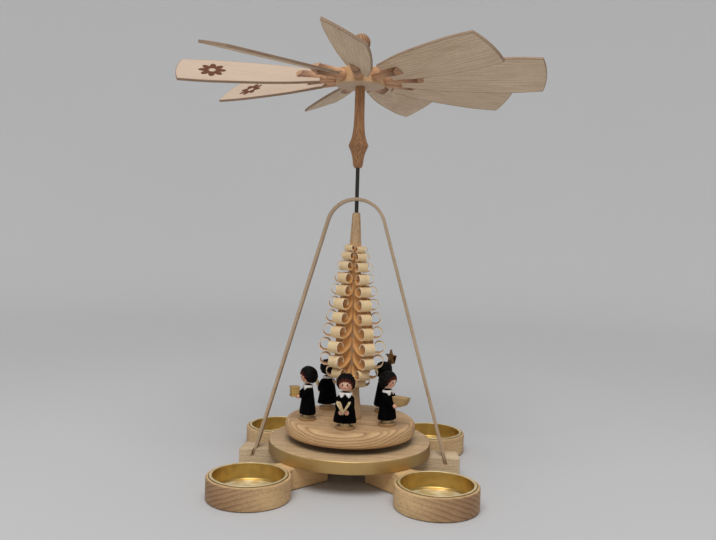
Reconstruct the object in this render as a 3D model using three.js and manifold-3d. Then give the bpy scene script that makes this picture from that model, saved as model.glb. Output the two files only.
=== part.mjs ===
// A tea-light pyramid: warm air from four candles turns a bladed wheel, and with it a rod, a turntable,
// five carol singers and a tree of curled shavings. Millimetres, +Z up, the spin axis is Z, and the
// stand's underside lies at Z = 0. The bar and the arch lie along X, and the front is -Y.
import * as THREE from "three";
import { mergeVertices } from "three/addons/utils/BufferGeometryUtils.js";
import Module from "manifold-3d";

const wasm = await Module();
wasm.setup();

// Gap between a piece and what it sits in or turns in.
const clearance = 0.3;

// Stand: one bar, and four arms that each carry a cup for a tea light.
const standHeight = 13;
const barLength = 138.4;
const barWidth = 17;
const barCornerRadius = 2.5;
const armBearing = 42.7;
const armWidth = 13.5;
const armInnerEnd = 24;
const armFillet = 8;
const cupDistance = 77.8;
const cupRadius = 24;
const linerBore = 41;
const linerWall = 0.5;
const linerDepth = 9.8;
const linerFlange = 1;

// Base disc on the stand, with the pivot bearing in its middle.
const discRadius = 50.8;
const discThickness = 7.9;
const discEdge = 0.8;
const bearingRadius = 4;
const bearingDepth = 6;
const bearingFloor = 1.6;

// Arch: one bent strip, its feet in slots across the bar.
const archThickness = 2;
const archWidth = 8;
const archTop = 172.5;
const crownRadius = 18.2;
const archFootSpan = 121;
const footSlotDepth = 4.4;

// Rotor: a steel rod that carries the turntable and the tree.
const rodRadius = 1.2;
const rodInWheel = 30;
const turntableRadius = 40.8;
const turntableThickness = 9.9;
const turntableLift = 3.3;
const turntableEdge = 3.6;

// Tree of curled shavings on a tapered trunk.
const trunkFootRadius = 7;
const trunkCoreRadius = 4.9;
const trunkTaper = 3.6;
const trunkTopRadius = 2.4;
const trunkHeight = 129;
const curlColumns = 6;
const curlTiers = 12;
const lowestCurl = 23.6;
const highestCurl = 106.6;
const treeRadius = 20.8;
const treeTopRadius = 7;
const treeSkirtRadius = 11;
const treeWidestShare = 0.27;
const topCurlShare = 0.46;
const skirtCurlShare = 0.6;
const curlGap = 0.8;
const curlWidth = 7;
const curlSweep = 268;
const curlTightening = 0.2;
const curlFullSize = 9;
const curlSteps = 7;
const rootRise = 0.75;
const rootDepth = 1.2;
const droopReach = 0.35;
const droopDepth = 0.2;
const shavingThickness = 0.5;

// Carol singers, standing on the turntable and facing outwards.
const singerRadius = 27.8;
const footRadius = 5.4;
const footThickness = 1.6;
const legRadius = 2.6;
const legHeight = 2.2;
const robeHeight = 18.6;
const hemHalfWidth = 6.7;
const shoulderHalfWidth = 3.9;
const robeFlatness = 0.72;
const headRadius = 4.9;
const handRadius = 1.5;
const handReach = 1.3;
const sleeveRadius = 1.9;
const wristRadius = 1.1;
const hairRadius = 5.5;
const hairTilt = 40;
const hairLift = 0.2;
const pageLength = 4.1;
const pageRise = 6.8;
const pageDepth = 4;
const pageThickness = 0.9;
const bowRadius = 4.8;
const bowHeight = 5.7;
const bowWidth = 6.2;
const bowNearest = 1.8;
const lanternWidth = 5.2;
const lanternDepth = 5;
const lanternHeight = 5.4;
const lanternRim = 0.4;
const lanternPlate = 0.8;
const starRadius = 5.2;
const starNookShare = 0.42;
const starThickness = 1.4;
const starLift = 12;
const stickRadius = 0.7;

// Wheel: a turned spindle, a hub, and blades in slotted dowels.
const wheelAboveArch = 18.3;
const spindleHeight = 50.2;
const spindleRadius = 3.05;
const beadRadius = 6.2;
const beadHeight = 13.9;
const spindleTipRadius = 2.3;
const hubRadius = 15.3;
const hubThickness = 10;
const hubPegRadius = 2.4;
const finialBall = 5.6;
const finialNeck = 2.3;
const finialHeight = 22.4;
const holderRadius = 3.3;
const holderEnd = 39.5;
const tenonRadius = 2;
const tenonLength = 6.8;
const bladeStart = 25;
const bladeTip = 112.2;
const bladeRootWidth = 15;
const bladeMidWidth = 23.4;
const bladeWidest = 27.4;
const bladeTipWidth = 26;
const bladeTipBulge = 2.2;
const bladeThickness = 1.6;
const firstBlade = 29;
// The pitch of each blade, as its owner has turned it, starting at the back right and going left.
const bladePitch = [32.6, 27.6, 20.5, 35.5, 37.2, 13.3, 28.5, 25.1, 34];

// Colours, each with its roughness and metalness.
const colours = {
  maple: [0xd9b98c, 0.6, 0],
  turned: [0xb98555, 0.55, 0],
  shaving: [0xe6c58f, 0.65, 0],
  brass: [0xb89a3e, 0.3, 1],
  steel: [0x2a2826, 0.35, 1],
  black: [0x0a0a0d, 0.5, 0],
  skin: [0xd9a383, 0.6, 0],
  gold: [0xb08a34, 0.35, 1],
};

// Heights that follow from the sizes above.
const discTop = standHeight + discThickness;
const tableBottom = discTop + turntableLift;
const tableTop = tableBottom + turntableThickness;
const bearingBottom = discTop - bearingDepth;
const rodBottom = bearingBottom + bearingFloor + clearance;
const spindleBottom = archTop + wheelAboveArch;
const rodTop = spindleBottom + rodInWheel;
const hubBottom = spindleBottom + spindleHeight;
const hubTop = hubBottom + hubThickness;
const bladeHeight = hubBottom + hubThickness / 2;
const linerRadius = linerBore / 2 + linerWall;
const wellRadius = linerRadius + clearance;
const wellDepth = linerDepth + clearance;
const rodHole = rodRadius + clearance;
const robeBottom = footThickness + legHeight;
const robeTop = robeBottom + robeHeight;
const headCentre = robeTop + headRadius;

function radians(degrees) {
  return (degrees * Math.PI) / 180;
}

function degrees(angle) {
  return (angle * 180) / Math.PI;
}

// A closed geometry as a solid that can be cut and joined.
function solidOf(geometry) {
  const bare = geometry.index ? geometry.toNonIndexed() : geometry.clone();
  bare.deleteAttribute("normal");
  bare.deleteAttribute("uv");
  const merged = mergeVertices(bare, 1e-4);
  const mesh = new wasm.Mesh({
    numProp: 3,
    vertProperties: merged.attributes.position.array,
    triVerts: new Uint32Array(merged.index.array),
  });
  return new wasm.Manifold(mesh);
}

function geometryOf(solid) {
  const { vertProperties, triVerts } = solid.getMesh();
  const geometry = new THREE.BufferGeometry();
  geometry.setAttribute("position", new THREE.BufferAttribute(vertProperties, 3));
  geometry.setIndex(new THREE.BufferAttribute(triVerts, 1));
  geometry.computeVertexNormals();
  return geometry;
}

function joined(...geometries) {
  return geometryOf(geometries.map(solidOf).reduce((all, next) => all.add(next)));
}

function cut(geometry, ...tools) {
  return geometryOf(tools.map(solidOf).reduce((left, tool) => left.subtract(tool), solidOf(geometry)));
}

// A turned piece: the profile's points are [radius, height], going up the outside.
function turned(profile, steps) {
  const points = profile.map(([radius, height]) => new THREE.Vector2(Math.max(radius, 0), height));
  return new THREE.LatheGeometry(points, steps).rotateX(Math.PI / 2);
}

// An upright cylinder between two heights.
function post(radius, bottom, top, steps) {
  const height = top - bottom;
  return new THREE.CylinderGeometry(radius, radius, height, steps)
    .rotateX(Math.PI / 2)
    .translate(0, 0, bottom + height / 2);
}

// A flat outline of [x, y] points made into a plate from bottom to bottom + height.
function plate(outline, bottom, height) {
  const shape = new THREE.Shape(outline.map(([x, y]) => new THREE.Vector2(x, y)));
  const geometry = new THREE.ExtrudeGeometry(shape, { depth: height, bevelEnabled: false });
  return geometry.translate(0, 0, bottom);
}

function piece(name, geometry, colour) {
  const [color, roughness, metalness] = colours[colour];
  const mesh = new THREE.Mesh(geometry, new THREE.MeshStandardMaterial({ color, roughness, metalness }));
  mesh.name = name;
  return mesh;
}

// The points of an arc about a centre, from one angle in degrees to another.
function arc(centreX, centreY, radius, from, to, steps) {
  return Array.from({ length: steps + 1 }, (_, i) => {
    const angle = radians(from + ((to - from) * i) / steps);
    return [centreX + radius * Math.cos(angle), centreY + radius * Math.sin(angle)];
  });
}

// Where the arch's straight leg meets its round crown, seen from the front.
function archLine() {
  const centre = archTop - archThickness / 2 - crownRadius;
  const foot = new THREE.Vector2(archFootSpan / 2, standHeight - footSlotDepth + clearance);
  const toFoot = foot.clone().sub(new THREE.Vector2(0, centre));
  const turn = toFoot.angle() + Math.acos(crownRadius / toFoot.length());
  const outwards = new THREE.Vector2(Math.cos(turn), Math.sin(turn));
  return { centre, foot, lean: degrees(turn) - 360, outwards };
}

function arch() {
  const { centre, foot, lean, outwards } = archLine();
  const half = archThickness / 2;
  const outer = foot.clone().addScaledVector(outwards, half);
  const inner = foot.clone().addScaledVector(outwards, -half);
  const outline = [
    [inner.x, inner.y],
    [outer.x, outer.y],
    ...arc(0, centre, crownRadius + half, lean, 180 - lean, 14),
    [-outer.x, outer.y],
    [-inner.x, inner.y],
    ...arc(0, centre, crownRadius - half, 180 - lean, lean, 14),
  ];
  const strip = plate(outline, -archWidth / 2, archWidth).rotateX(Math.PI / 2);
  return cut(strip, post(rodHole, centre, archTop + 1, 10));
}

// The bar, with a slot across it at each end that leans with the arch's leg.
function crossBar() {
  const corner = barCornerRadius;
  const x = barLength / 2 - corner;
  const y = barWidth / 2 - corner;
  const outline = [
    ...arc(x, -y, corner, -90, 0, 3),
    ...arc(x, y, corner, 0, 90, 3),
    ...arc(-x, y, corner, 90, 180, 3),
    ...arc(-x, -y, corner, 180, 270, 3),
  ];
  const { foot, lean } = archLine();
  const slotLength = 3 * footSlotDepth;
  const slots = [1, -1].map((side) =>
    new THREE.BoxGeometry(archThickness + 2 * clearance, barWidth + 2, slotLength)
      .translate(0, 0, slotLength / 2 - clearance)
      .rotateY(-side * radians(lean))
      .translate(side * foot.x, 0, foot.y),
  );
  return cut(plate(outline, 0, standHeight), ...slots);
}

// One arm along +X: a bar that swells through two hollow fillets into the cup.
function candleArm() {
  const half = armWidth / 2;
  const reach = Math.sqrt((cupRadius + armFillet) ** 2 - (half + armFillet) ** 2);
  const filletEnd = degrees(Math.atan2(half + armFillet, reach));
  const outline = [
    [armInnerEnd, -half],
    ...arc(cupDistance - reach, -half - armFillet, armFillet, 90, filletEnd, 4),
    ...arc(cupDistance, 0, cupRadius, filletEnd - 180, 180 - filletEnd, 26).slice(1, -1),
    ...arc(cupDistance - reach, half + armFillet, armFillet, -filletEnd, -90, 4),
    [armInnerEnd, half],
  ];
  const well = post(wellRadius, standHeight - wellDepth, standHeight + 1, 30).translate(cupDistance, 0, 0);
  return cut(plate(outline, 0, standHeight), well);
}

// The brass cup that a tea light stands in, with a flange on the wooden rim.
function liner() {
  const bottom = standHeight - linerDepth;
  const inner = linerBore / 2;
  const profile = [
    [0, bottom],
    [linerRadius - linerWall, bottom],
    [linerRadius, bottom + linerWall],
    [linerRadius, standHeight],
    [linerRadius + linerFlange, standHeight],
    [linerRadius + linerFlange, standHeight + linerWall],
    [inner, standHeight + linerWall],
    [inner, bottom + linerWall],
    [0, bottom + linerWall],
  ];
  return turned(profile, 22);
}

function baseDisc() {
  const profile = [
    [0, standHeight],
    [discRadius - discEdge, standHeight],
    [discRadius, standHeight + discEdge],
    [discRadius, discTop - discEdge],
    [discRadius - discEdge, discTop],
    [bearingRadius + clearance, discTop],
    [bearingRadius + clearance, bearingBottom - clearance],
    [0, bearingBottom - clearance],
  ];
  return turned(profile, 40);
}

function bearing() {
  const profile = [
    [0, bearingBottom],
    [bearingRadius, bearingBottom],
    [bearingRadius, discTop],
    [rodHole + 1, discTop],
    [rodHole, discTop - 1],
    [rodHole, bearingBottom + bearingFloor + 1],
    [0, bearingBottom + bearingFloor],
  ];
  return turned(profile, 12);
}

function rod() {
  const profile = [
    [0, rodBottom],
    [rodRadius, rodBottom + 1],
    [rodRadius, rodTop - 1],
    [0, rodTop],
  ];
  return turned(profile, 10);
}

function turntable() {
  const edge = turntableEdge;
  const shoulder = turntableRadius - edge;
  const profile = [
    [rodHole, tableBottom],
    ...arc(shoulder, tableBottom + edge, edge, -90, 0, 2),
    ...arc(shoulder, tableTop - edge, edge, 0, 90, 2),
    [rodHole, tableTop],
    [rodHole, tableBottom],
  ];
  return turned(profile, 36);
}

// How far the tree's trunk reaches from the axis at the height of a curl above the turntable.
function trunkRadius(height) {
  const share = (height - lowestCurl) / (highestCurl - lowestCurl);
  return trunkCoreRadius + (trunkTaper - trunkCoreRadius) * share;
}

// How far the curls reach: a cone down to the widest tier, then a round skirt.
function treeOutline(share) {
  if (share > treeWidestShare) {
    const up = (share - treeWidestShare) / (1 - treeWidestShare);
    return treeRadius + (treeTopRadius - treeRadius) * up ** 1.15;
  }
  const down = (treeWidestShare - share) / treeWidestShare;
  return treeRadius + (treeSkirtRadius - treeRadius) * down ** 2;
}

// A strip of one thickness whose middle line runs in the XZ plane and whose width lies along Y.
function ribbon(line, widths) {
  const corners = [];
  line.forEach(([x, z], i) => {
    const [beforeX, beforeZ] = line[Math.max(i - 1, 0)];
    const [afterX, afterZ] = line[Math.min(i + 1, line.length - 1)];
    const along = new THREE.Vector2(afterX - beforeX, afterZ - beforeZ).normalize();
    const across = [-along.y * shavingThickness * 0.5, along.x * shavingThickness * 0.5];
    const half = widths[i] / 2;
    corners.push(x + across[0], -half, z + across[1], x + across[0], half, z + across[1]);
    corners.push(x - across[0], half, z - across[1], x - across[0], -half, z - across[1]);
  });
  const faces = [0, 1, 2, 0, 2, 3];
  for (let i = 0; i < line.length - 1; i++) {
    for (let side = 0; side < 4; side++) {
      const a = 4 * i + side;
      const b = 4 * i + ((side + 1) % 4);
      faces.push(a, a + 4, b, b, a + 4, b + 4);
    }
  }
  const last = 4 * (line.length - 1);
  faces.push(last, last + 2, last + 1, last, last + 3, last + 2);
  const geometry = new THREE.BufferGeometry();
  geometry.setAttribute("position", new THREE.Float32BufferAttribute(corners, 3));
  geometry.setIndex(faces);
  return geometry;
}

// One shaving: its root leaves the trunk, droops outwards and rolls up over itself. Near the trunk it is
// only as wide as the room between its neighbours.
function curl(height, diameter, reach) {
  const steps = Math.round(curlSteps * (0.6 + (0.4 * diameter) / curlFullSize));
  const radius = diameter / 2 - shavingThickness / 2;
  const centre = reach - diameter / 2;
  const root = trunkRadius(height) - rootDepth;
  const line = [
    [root, height + rootRise * diameter],
    [root + droopReach * (centre - root), height - droopDepth * diameter],
  ];
  for (let i = 0; i <= steps; i++) {
    const angle = radians(-90 + (curlSweep * i) / steps);
    const rolled = radius * (1 - (curlTightening * i) / steps);
    line.push([centre + rolled * Math.cos(angle), height + rolled * Math.sin(angle)]);
  }
  const room = 2 * Math.tan(Math.PI / curlColumns);
  const wide = Math.min(curlWidth, room * centre - clearance);
  const widths = line.map(([x], i) => (i < 2 ? Math.min(wide, room * x - clearance) : wide));
  return ribbon(line, widths);
}

// A curl's size at a share of the tree's height, as a share of the largest.
function curlShare(share) {
  if (share > treeWidestShare) {
    const up = (share - treeWidestShare) / (1 - treeWidestShare);
    return 1 - (1 - topCurlShare) * up ** 2;
  }
  const down = (treeWidestShare - share) / treeWidestShare;
  return 1 - (1 - skirtCurlShare) * down ** 2;
}

// The heights and diameters of the tiers: each curl nearly fills its tier's pitch.
function curlTierList() {
  const shares = Array.from({ length: curlTiers }, (_, i) => curlShare(i / (curlTiers - 1)));
  const pitches = shares.slice(1).map((share, i) => (share + shares[i]) / 2);
  const unit = (highestCurl - lowestCurl) / pitches.reduce((sum, pitch) => sum + pitch, 0);
  let height = lowestCurl;
  return shares.map((share, i) => {
    if (i > 0) height += pitches[i - 1] * unit;
    return { height, diameter: share * unit - curlGap };
  });
}

function shavingTree() {
  const profile = [
    [rodHole, 0],
    [trunkFootRadius, 0],
    [trunkFootRadius, trunkFootRadius / 2],
    [(trunkFootRadius + trunkCoreRadius) / 2 - 0.4, lowestCurl / 2],
    [trunkCoreRadius, lowestCurl],
    [trunkTaper, highestCurl],
    [trunkTopRadius, trunkHeight],
    [rodHole, trunkHeight],
    [rodHole, 0],
  ];
  let tree = solidOf(turned(profile, 14));
  for (const { height, diameter } of curlTierList()) {
    const share = (height - lowestCurl) / (highestCurl - lowestCurl);
    for (let column = 0; column < curlColumns; column++) {
      const shaving = curl(height, diameter, treeOutline(share));
      shaving.rotateZ((2 * Math.PI * column) / curlColumns);
      tree = tree.add(solidOf(shaving));
    }
  }
  return geometryOf(tree);
}

// A short round rod between two points, for sleeves and the star's stick.
function limb(start, end, startRadius, endRadius) {
  const along = end.clone().sub(start);
  const turn = new THREE.Quaternion().setFromUnitVectors(
    new THREE.Vector3(0, 1, 0),
    along.clone().normalize(),
  );
  const middle = start.clone().add(end).multiplyScalar(0.5);
  return new THREE.CylinderGeometry(endRadius, startRadius, along.length(), 6)
    .applyQuaternion(turn)
    .translate(middle.x, middle.y, middle.z);
}

// The singer's hands, apart from each other and in front of the robe.
function handPlaces(height, spread) {
  const share = (height - robeBottom) / robeHeight;
  const robeFront = (hemHalfWidth + (shoulderHalfWidth - hemHalfWidth) * share) * robeFlatness;
  const front = Math.max(robeFront, shoulderHalfWidth * robeFlatness);
  const forward = front + handReach + handRadius + clearance;
  return [1, -1].map((side) => [forward, side * spread, height]);
}

function balls(places, radius, steps) {
  return places.map(([x, y, z]) => new THREE.SphereGeometry(radius, steps, steps - 2).translate(x, y, z));
}

// Foot disc, leg, flared robe and sleeves, turned and glued as one body. Each sleeve ends at its hand.
function robe(handHeight, handSpread) {
  const foot = post(footRadius, 0, footThickness, 12);
  const leg = post(legRadius, footThickness - 0.5, robeBottom + 0.5, 6);
  const flare = [
    [0, robeBottom],
    [hemHalfWidth - 0.3, robeBottom],
    [hemHalfWidth, robeBottom + 0.6],
    [(hemHalfWidth * 2 + shoulderHalfWidth) / 3, robeBottom + robeHeight * 0.4],
    [shoulderHalfWidth + 0.3, robeBottom + robeHeight * 0.85],
    [shoulderHalfWidth - 0.6, robeTop - 0.6],
    [0, robeTop - clearance],
  ];
  const gown = turned(flare, 12).scale(robeFlatness, 1, 1);
  const sleeves = handPlaces(handHeight, handSpread).map((place) => {
    const hand = new THREE.Vector3(...place);
    const shoulderY = Math.sign(hand.y) * shoulderHalfWidth * 0.8;
    const shoulder = new THREE.Vector3(0, shoulderY, robeTop - sleeveRadius * 1.8);
    const back = shoulder.clone().sub(hand).setLength(handRadius + clearance);
    return limb(shoulder, hand.add(back), sleeveRadius, wristRadius);
  });
  return joined(foot, leg, gown, ...sleeves);
}

// The bare lower and front part of the head's ball; the fuller hair takes the upper back.
function headAndHair() {
  const globe = (radius) => new THREE.SphereGeometry(radius, 10, 7).rotateX(Math.PI / 2);
  const size = 4 * hairRadius;
  const half = new THREE.BoxGeometry(size, size, size).translate(0, 0, size / 2 + hairLift);
  const behind = solidOf(half.clone().rotateY(-radians(hairTilt)));
  const gap = solidOf(half.translate(0, 0, -clearance).rotateY(-radians(hairTilt)));
  const head = geometryOf(solidOf(globe(headRadius)).subtract(gap)).translate(0, 0, headCentre);
  const hair = geometryOf(solidOf(globe(hairRadius)).intersect(behind)).translate(0, 0, headCentre);
  return { head, hair };
}

// What a singer holds is made with the hands that hold it. "forward" and "height" are the hands' place.
function held(places, ...pieces) {
  return joined(...pieces, ...balls(places, handRadius, 7));
}

// An outline that is seen from the singer's front, from a nearest distance outwards.
function facing(outline, nearest, depth) {
  return plate(outline, nearest, depth)
    .rotateX(Math.PI / 2)
    .rotateZ(Math.PI / 2);
}

// An open song book seen as a V from the front, resting on both hands.
function songBook(places) {
  const [forward, , height] = places[0];
  const outline = [
    [0, -pageThickness],
    [pageLength, pageRise - pageThickness],
    [pageLength - pageThickness, pageRise],
    [0, pageThickness],
    [pageThickness - pageLength, pageRise],
    [-pageLength, pageRise - pageThickness],
  ];
  const pages = facing(outline, forward + clearance, pageDepth).translate(0, 0, height + clearance);
  return held(places, pages);
}

// A broad book whose spine is bowed, so that it looks like half a disc from the side.
function bowedBook(places) {
  const [forward, , height] = places[0];
  const outline = arc(0, 0, 1, 180, 360, 8).map(([x, y]) => [x * bowRadius, y * bowHeight]);
  const block = plate(outline, -bowWidth / 2, bowWidth).rotateX(Math.PI / 2);
  const middle = bowRadius - bowNearest;
  const overHands = bowHeight * Math.sqrt(1 - (middle / bowRadius) ** 2);
  return held(places, block.translate(forward + middle, 0, height + overHands + handRadius - clearance));
}

// A lantern: a square box between two thin plates.
function lantern(places) {
  const [forward, , height] = places[0];
  const width = lanternWidth + 2 * lanternRim;
  const depth = lanternDepth + 2 * lanternRim;
  const x = forward + depth / 2 - 4 * clearance;
  const bottom = height + clearance;
  const box = new THREE.BoxGeometry(lanternDepth, lanternWidth, lanternHeight);
  const rim = new THREE.BoxGeometry(depth, width, lanternPlate);
  return held(
    places,
    box.translate(x, 0, bottom + lanternHeight / 2),
    rim.clone().translate(x, 0, bottom),
    rim.clone().translate(x, 0, bottom + lanternHeight),
  );
}

// A five-pointed star on a stick that both hands hold up.
function starStick(places) {
  const [forward, , height] = places[0];
  const tips = arc(0, 0, starRadius, 90, 378, 4);
  const nooks = arc(0, 0, starRadius * starNookShare, 126, 414, 4);
  const outline = tips.flatMap((tip, i) => [tip, nooks[i]]);
  const centre = height + starLift;
  const star = facing(outline, forward - starThickness / 2, starThickness).translate(0, 0, centre);
  const bottom = new THREE.Vector3(forward, 0, height - 3 * handRadius);
  const stick = limb(bottom, new THREE.Vector3(forward, 0, centre), stickRadius, stickRadius);
  return held(places, star, stick);
}

// Who stands where: bearing in degrees from +X, and what the hands hold, how high and how far apart.
const singers = [
  { name: "front", bearing: 267, holds: songBook, handHeight: 11, handSpread: 1.7, colour: "maple" },
  { name: "left", bearing: 200, holds: lantern, handHeight: 15, handSpread: 1.8, colour: "gold" },
  { name: "back_left", bearing: 127, holds: songBook, handHeight: 11, handSpread: 1.7, colour: "maple" },
  { name: "star", bearing: 44, holds: starStick, handHeight: 23.5, handSpread: 1.6, colour: "gold" },
  { name: "right", bearing: 327, holds: bowedBook, handHeight: 13, handSpread: 2.2, colour: "maple" },
];

function singer({ name, bearing, holds, handHeight, handSpread, colour }) {
  const places = handPlaces(handHeight, handSpread);
  const { head, hair } = headAndHair();
  const group = new THREE.Group();
  group.add(piece(`singer_${name}_robe`, robe(handHeight, handSpread), "black"));
  group.add(piece(`singer_${name}_head`, head, "skin"));
  group.add(piece(`singer_${name}_hair`, hair, "black"));
  group.add(piece(`singer_${name}_prop`, holds(places), colour));
  group.rotation.z = radians(bearing);
  group.position.set(
    singerRadius * Math.cos(radians(bearing)),
    singerRadius * Math.sin(radians(bearing)),
    tableTop,
  );
  return group;
}

// The turned spindle: a bore for the rod, a rounded tip, a bead and a long neck with a peg for the hub.
function spindle() {
  const bead = spindleBottom + beadHeight;
  const neck = (share) => spindleRadius + (beadRadius - spindleRadius) * share;
  const boreTop = rodTop + clearance;
  const shoulder = hubBottom - clearance;
  const profile = [
    [0, boreTop],
    [rodHole, boreTop],
    [rodHole, spindleBottom],
    [spindleTipRadius, spindleBottom],
    [spindleRadius - 0.1, spindleBottom + 1.6],
    [neck(0.12), spindleBottom + beadHeight * 0.4],
    [neck(0.4), spindleBottom + beadHeight * 0.68],
    [beadRadius, bead - 0.5],
    [beadRadius, bead + 0.6],
    [neck(0.42), bead + 5],
    [neck(0.16), bead + 10],
    [neck(0.05), bead + 18],
    [spindleRadius, shoulder],
    [hubPegRadius, shoulder],
    [hubPegRadius, hubBottom + hubThickness * 0.6],
    [0, hubBottom + hubThickness * 0.6],
  ];
  return turned(profile, 14);
}

function hub() {
  const bore = hubPegRadius + clearance;
  const profile = [
    [bore, hubBottom],
    [hubRadius - 0.8, hubBottom],
    [hubRadius, hubBottom + 0.8],
    [hubRadius, hubTop - 0.8],
    [hubRadius - 0.8, hubTop],
    [bore, hubTop],
    [bore, hubBottom],
  ];
  const start = hubRadius - tenonLength - clearance;
  const holes = bladePitch.map((_, i) =>
    post(tenonRadius + clearance, start, hubRadius + 2, 8)
      .rotateY(Math.PI / 2)
      .rotateZ(bladeBearing(i))
      .translate(0, 0, bladeHeight),
  );
  return cut(turned(profile, 32), ...holes);
}

// The knob on top: a peg in the hub, a collar, a neck and a ball.
function finial() {
  const ballCentre = hubTop + finialHeight - finialBall;
  const neckAngle = -Math.acos(finialNeck / finialBall);
  const ball = arc(0, ballCentre, finialBall, degrees(neckAngle), 90, 6);
  const seat = hubTop + clearance;
  const profile = [
    [0, hubTop - hubThickness * 0.3],
    [hubPegRadius, hubTop - hubThickness * 0.3],
    [hubPegRadius, seat],
    [hubPegRadius * 2, seat],
    [hubPegRadius * 2, seat + 1],
    [finialNeck + 0.8, seat + 2.6],
    [finialNeck, seat + 5],
    ...ball,
  ];
  return turned(profile, 12);
}

function bladeBearing(index) {
  return radians(firstBlade) + (2 * Math.PI * index) / bladePitch.length;
}

// A slotted dowel along +X with a thinner tenon for the hub and slanted prong ends.
function bladeHolder() {
  const shoulder = hubRadius + clearance;
  const profile = [
    [0, hubRadius - tenonLength],
    [tenonRadius, hubRadius - tenonLength],
    [tenonRadius, shoulder],
    [holderRadius - 0.6, shoulder],
    [holderRadius, shoulder + 1.4],
    [holderRadius, holderEnd - 5],
    [holderRadius * 0.72, holderEnd],
    [0, holderEnd],
  ];
  const slotLength = holderEnd - bladeStart + clearance + 1;
  const slot = new THREE.BoxGeometry(slotLength, 3 * holderRadius, bladeThickness + 2 * clearance);
  slot.translate(bladeStart - clearance + slotLength / 2, 0, 0);
  return cut(turned(profile, 8).rotateY(Math.PI / 2), slot);
}

// A thin blade along +X that widens from its root and ends in a shallow arc.
function blade() {
  const corner = bladeTip - bladeTipBulge;
  const along = (share) => bladeStart + (corner - bladeStart) * share;
  const side = new THREE.SplineCurve([
    new THREE.Vector2(bladeStart, bladeRootWidth / 2),
    new THREE.Vector2(along(0.32), bladeMidWidth / 2),
    new THREE.Vector2(along(0.75), bladeWidest / 2),
    new THREE.Vector2(corner, bladeTipWidth / 2),
  ]).getPoints(6);
  const halfTip = bladeTipWidth / 2;
  const tipRadius = (halfTip ** 2 + bladeTipBulge ** 2) / (2 * bladeTipBulge);
  const tipAngle = degrees(Math.asin(halfTip / tipRadius));
  const front = side.slice(0, -1).map(({ x, y }) => [x, -y]);
  const back = side.slice(0, -1).map(({ x, y }) => [x, y]);
  const tip = arc(bladeTip - tipRadius, 0, tipRadius, -tipAngle, tipAngle, 6);
  return plate([...front, ...tip, ...back.reverse()], -bladeThickness / 2, bladeThickness);
}

function bladePair(index) {
  const group = new THREE.Group();
  group.add(piece(`blade_${index + 1}`, blade(), "maple"));
  group.add(piece(`blade_holder_${index + 1}`, bladeHolder(), "turned"));
  group.rotation.set(-radians(bladePitch[index]), 0, bladeBearing(index), "ZYX");
  group.position.z = bladeHeight;
  return group;
}

// The four arms and their brass cups, at equal angles on both sides of the bar.
function candleCorners(root) {
  const corners = [
    ["front_right", armBearing - 90],
    ["front_left", -armBearing - 90],
    ["back_left", armBearing + 90],
    ["back_right", 90 - armBearing],
  ];
  for (const [name, bearing] of corners) {
    const group = new THREE.Group();
    group.add(piece(`candle_arm_${name}`, candleArm(), "maple"));
    const cup = piece(`brass_cup_${name}`, liner(), "brass");
    cup.position.x = cupDistance;
    group.add(cup);
    group.rotation.z = radians(bearing);
    root.add(group);
  }
}

function pyramid() {
  const root = new THREE.Group();
  root.add(piece("cross_bar", crossBar(), "maple"));
  candleCorners(root);
  root.add(piece("base_disc", baseDisc(), "maple"));
  root.add(piece("pivot_bearing", bearing(), "brass"));
  root.add(piece("arch", arch(), "maple"));
  root.add(piece("rod", rod(), "steel"));
  root.add(piece("turntable", turntable(), "maple"));
  const tree = piece("shaving_tree", shavingTree(), "shaving");
  tree.position.z = tableTop;
  root.add(tree);
  singers.forEach((who) => root.add(singer(who)));
  root.add(piece("spindle", spindle(), "turned"));
  root.add(piece("wheel_hub", hub(), "turned"));
  root.add(piece("ball_finial", finial(), "turned"));
  bladePitch.forEach((_, index) => root.add(bladePair(index)));
  return root;
}

export default pyramid();
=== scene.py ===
import math

import bmesh
import bpy
import numpy as np
from mathutils import Matrix, Vector


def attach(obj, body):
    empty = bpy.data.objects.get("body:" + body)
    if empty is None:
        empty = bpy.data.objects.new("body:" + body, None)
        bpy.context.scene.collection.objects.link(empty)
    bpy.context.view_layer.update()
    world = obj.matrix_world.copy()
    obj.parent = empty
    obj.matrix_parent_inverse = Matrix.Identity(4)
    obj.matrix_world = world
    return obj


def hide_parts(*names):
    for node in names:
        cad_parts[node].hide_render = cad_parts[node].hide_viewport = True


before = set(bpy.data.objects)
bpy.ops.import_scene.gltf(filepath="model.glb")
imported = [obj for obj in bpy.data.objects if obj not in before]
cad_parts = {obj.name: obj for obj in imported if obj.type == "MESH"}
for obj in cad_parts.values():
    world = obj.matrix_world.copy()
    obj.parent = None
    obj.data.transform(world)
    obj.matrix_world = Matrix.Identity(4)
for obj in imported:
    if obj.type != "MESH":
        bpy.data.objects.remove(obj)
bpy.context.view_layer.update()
print("frame loaded:", len(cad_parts), "nodes")

# All sizes below are millimetres in the part's own frame: +Z up, the spin axis is Z, the front is -Y.
mm = 0.001


# Some of a dictionary's values, in the order asked for.
def pick(values, *names):
    return [values[name] for name in names]


# Angles in even steps from start to end, both in degrees, as radians.
def sweep(start, end, steps, whole=False):
    return np.radians(np.linspace(start, end, steps + (0 if whole else 1), endpoint=not whole))


# Separate coordinates as one array of points.
def together(*parts):
    return np.stack(np.broadcast_arrays(*parts), -1)


# Points on a circle round the origin, one for each angle.
def circle(angle, radius=1.0):
    return together(radius * np.cos(angle), radius * np.sin(angle))


# The same directions with a length of one.
def unit(vectors):
    return vectors / np.linalg.norm(vectors, axis=1)[:, None]


# How far along a line each of its points is.
def distances(line):
    return np.concatenate([[0], np.cumsum(np.linalg.norm(np.diff(line, axis=0), axis=1))])


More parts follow.
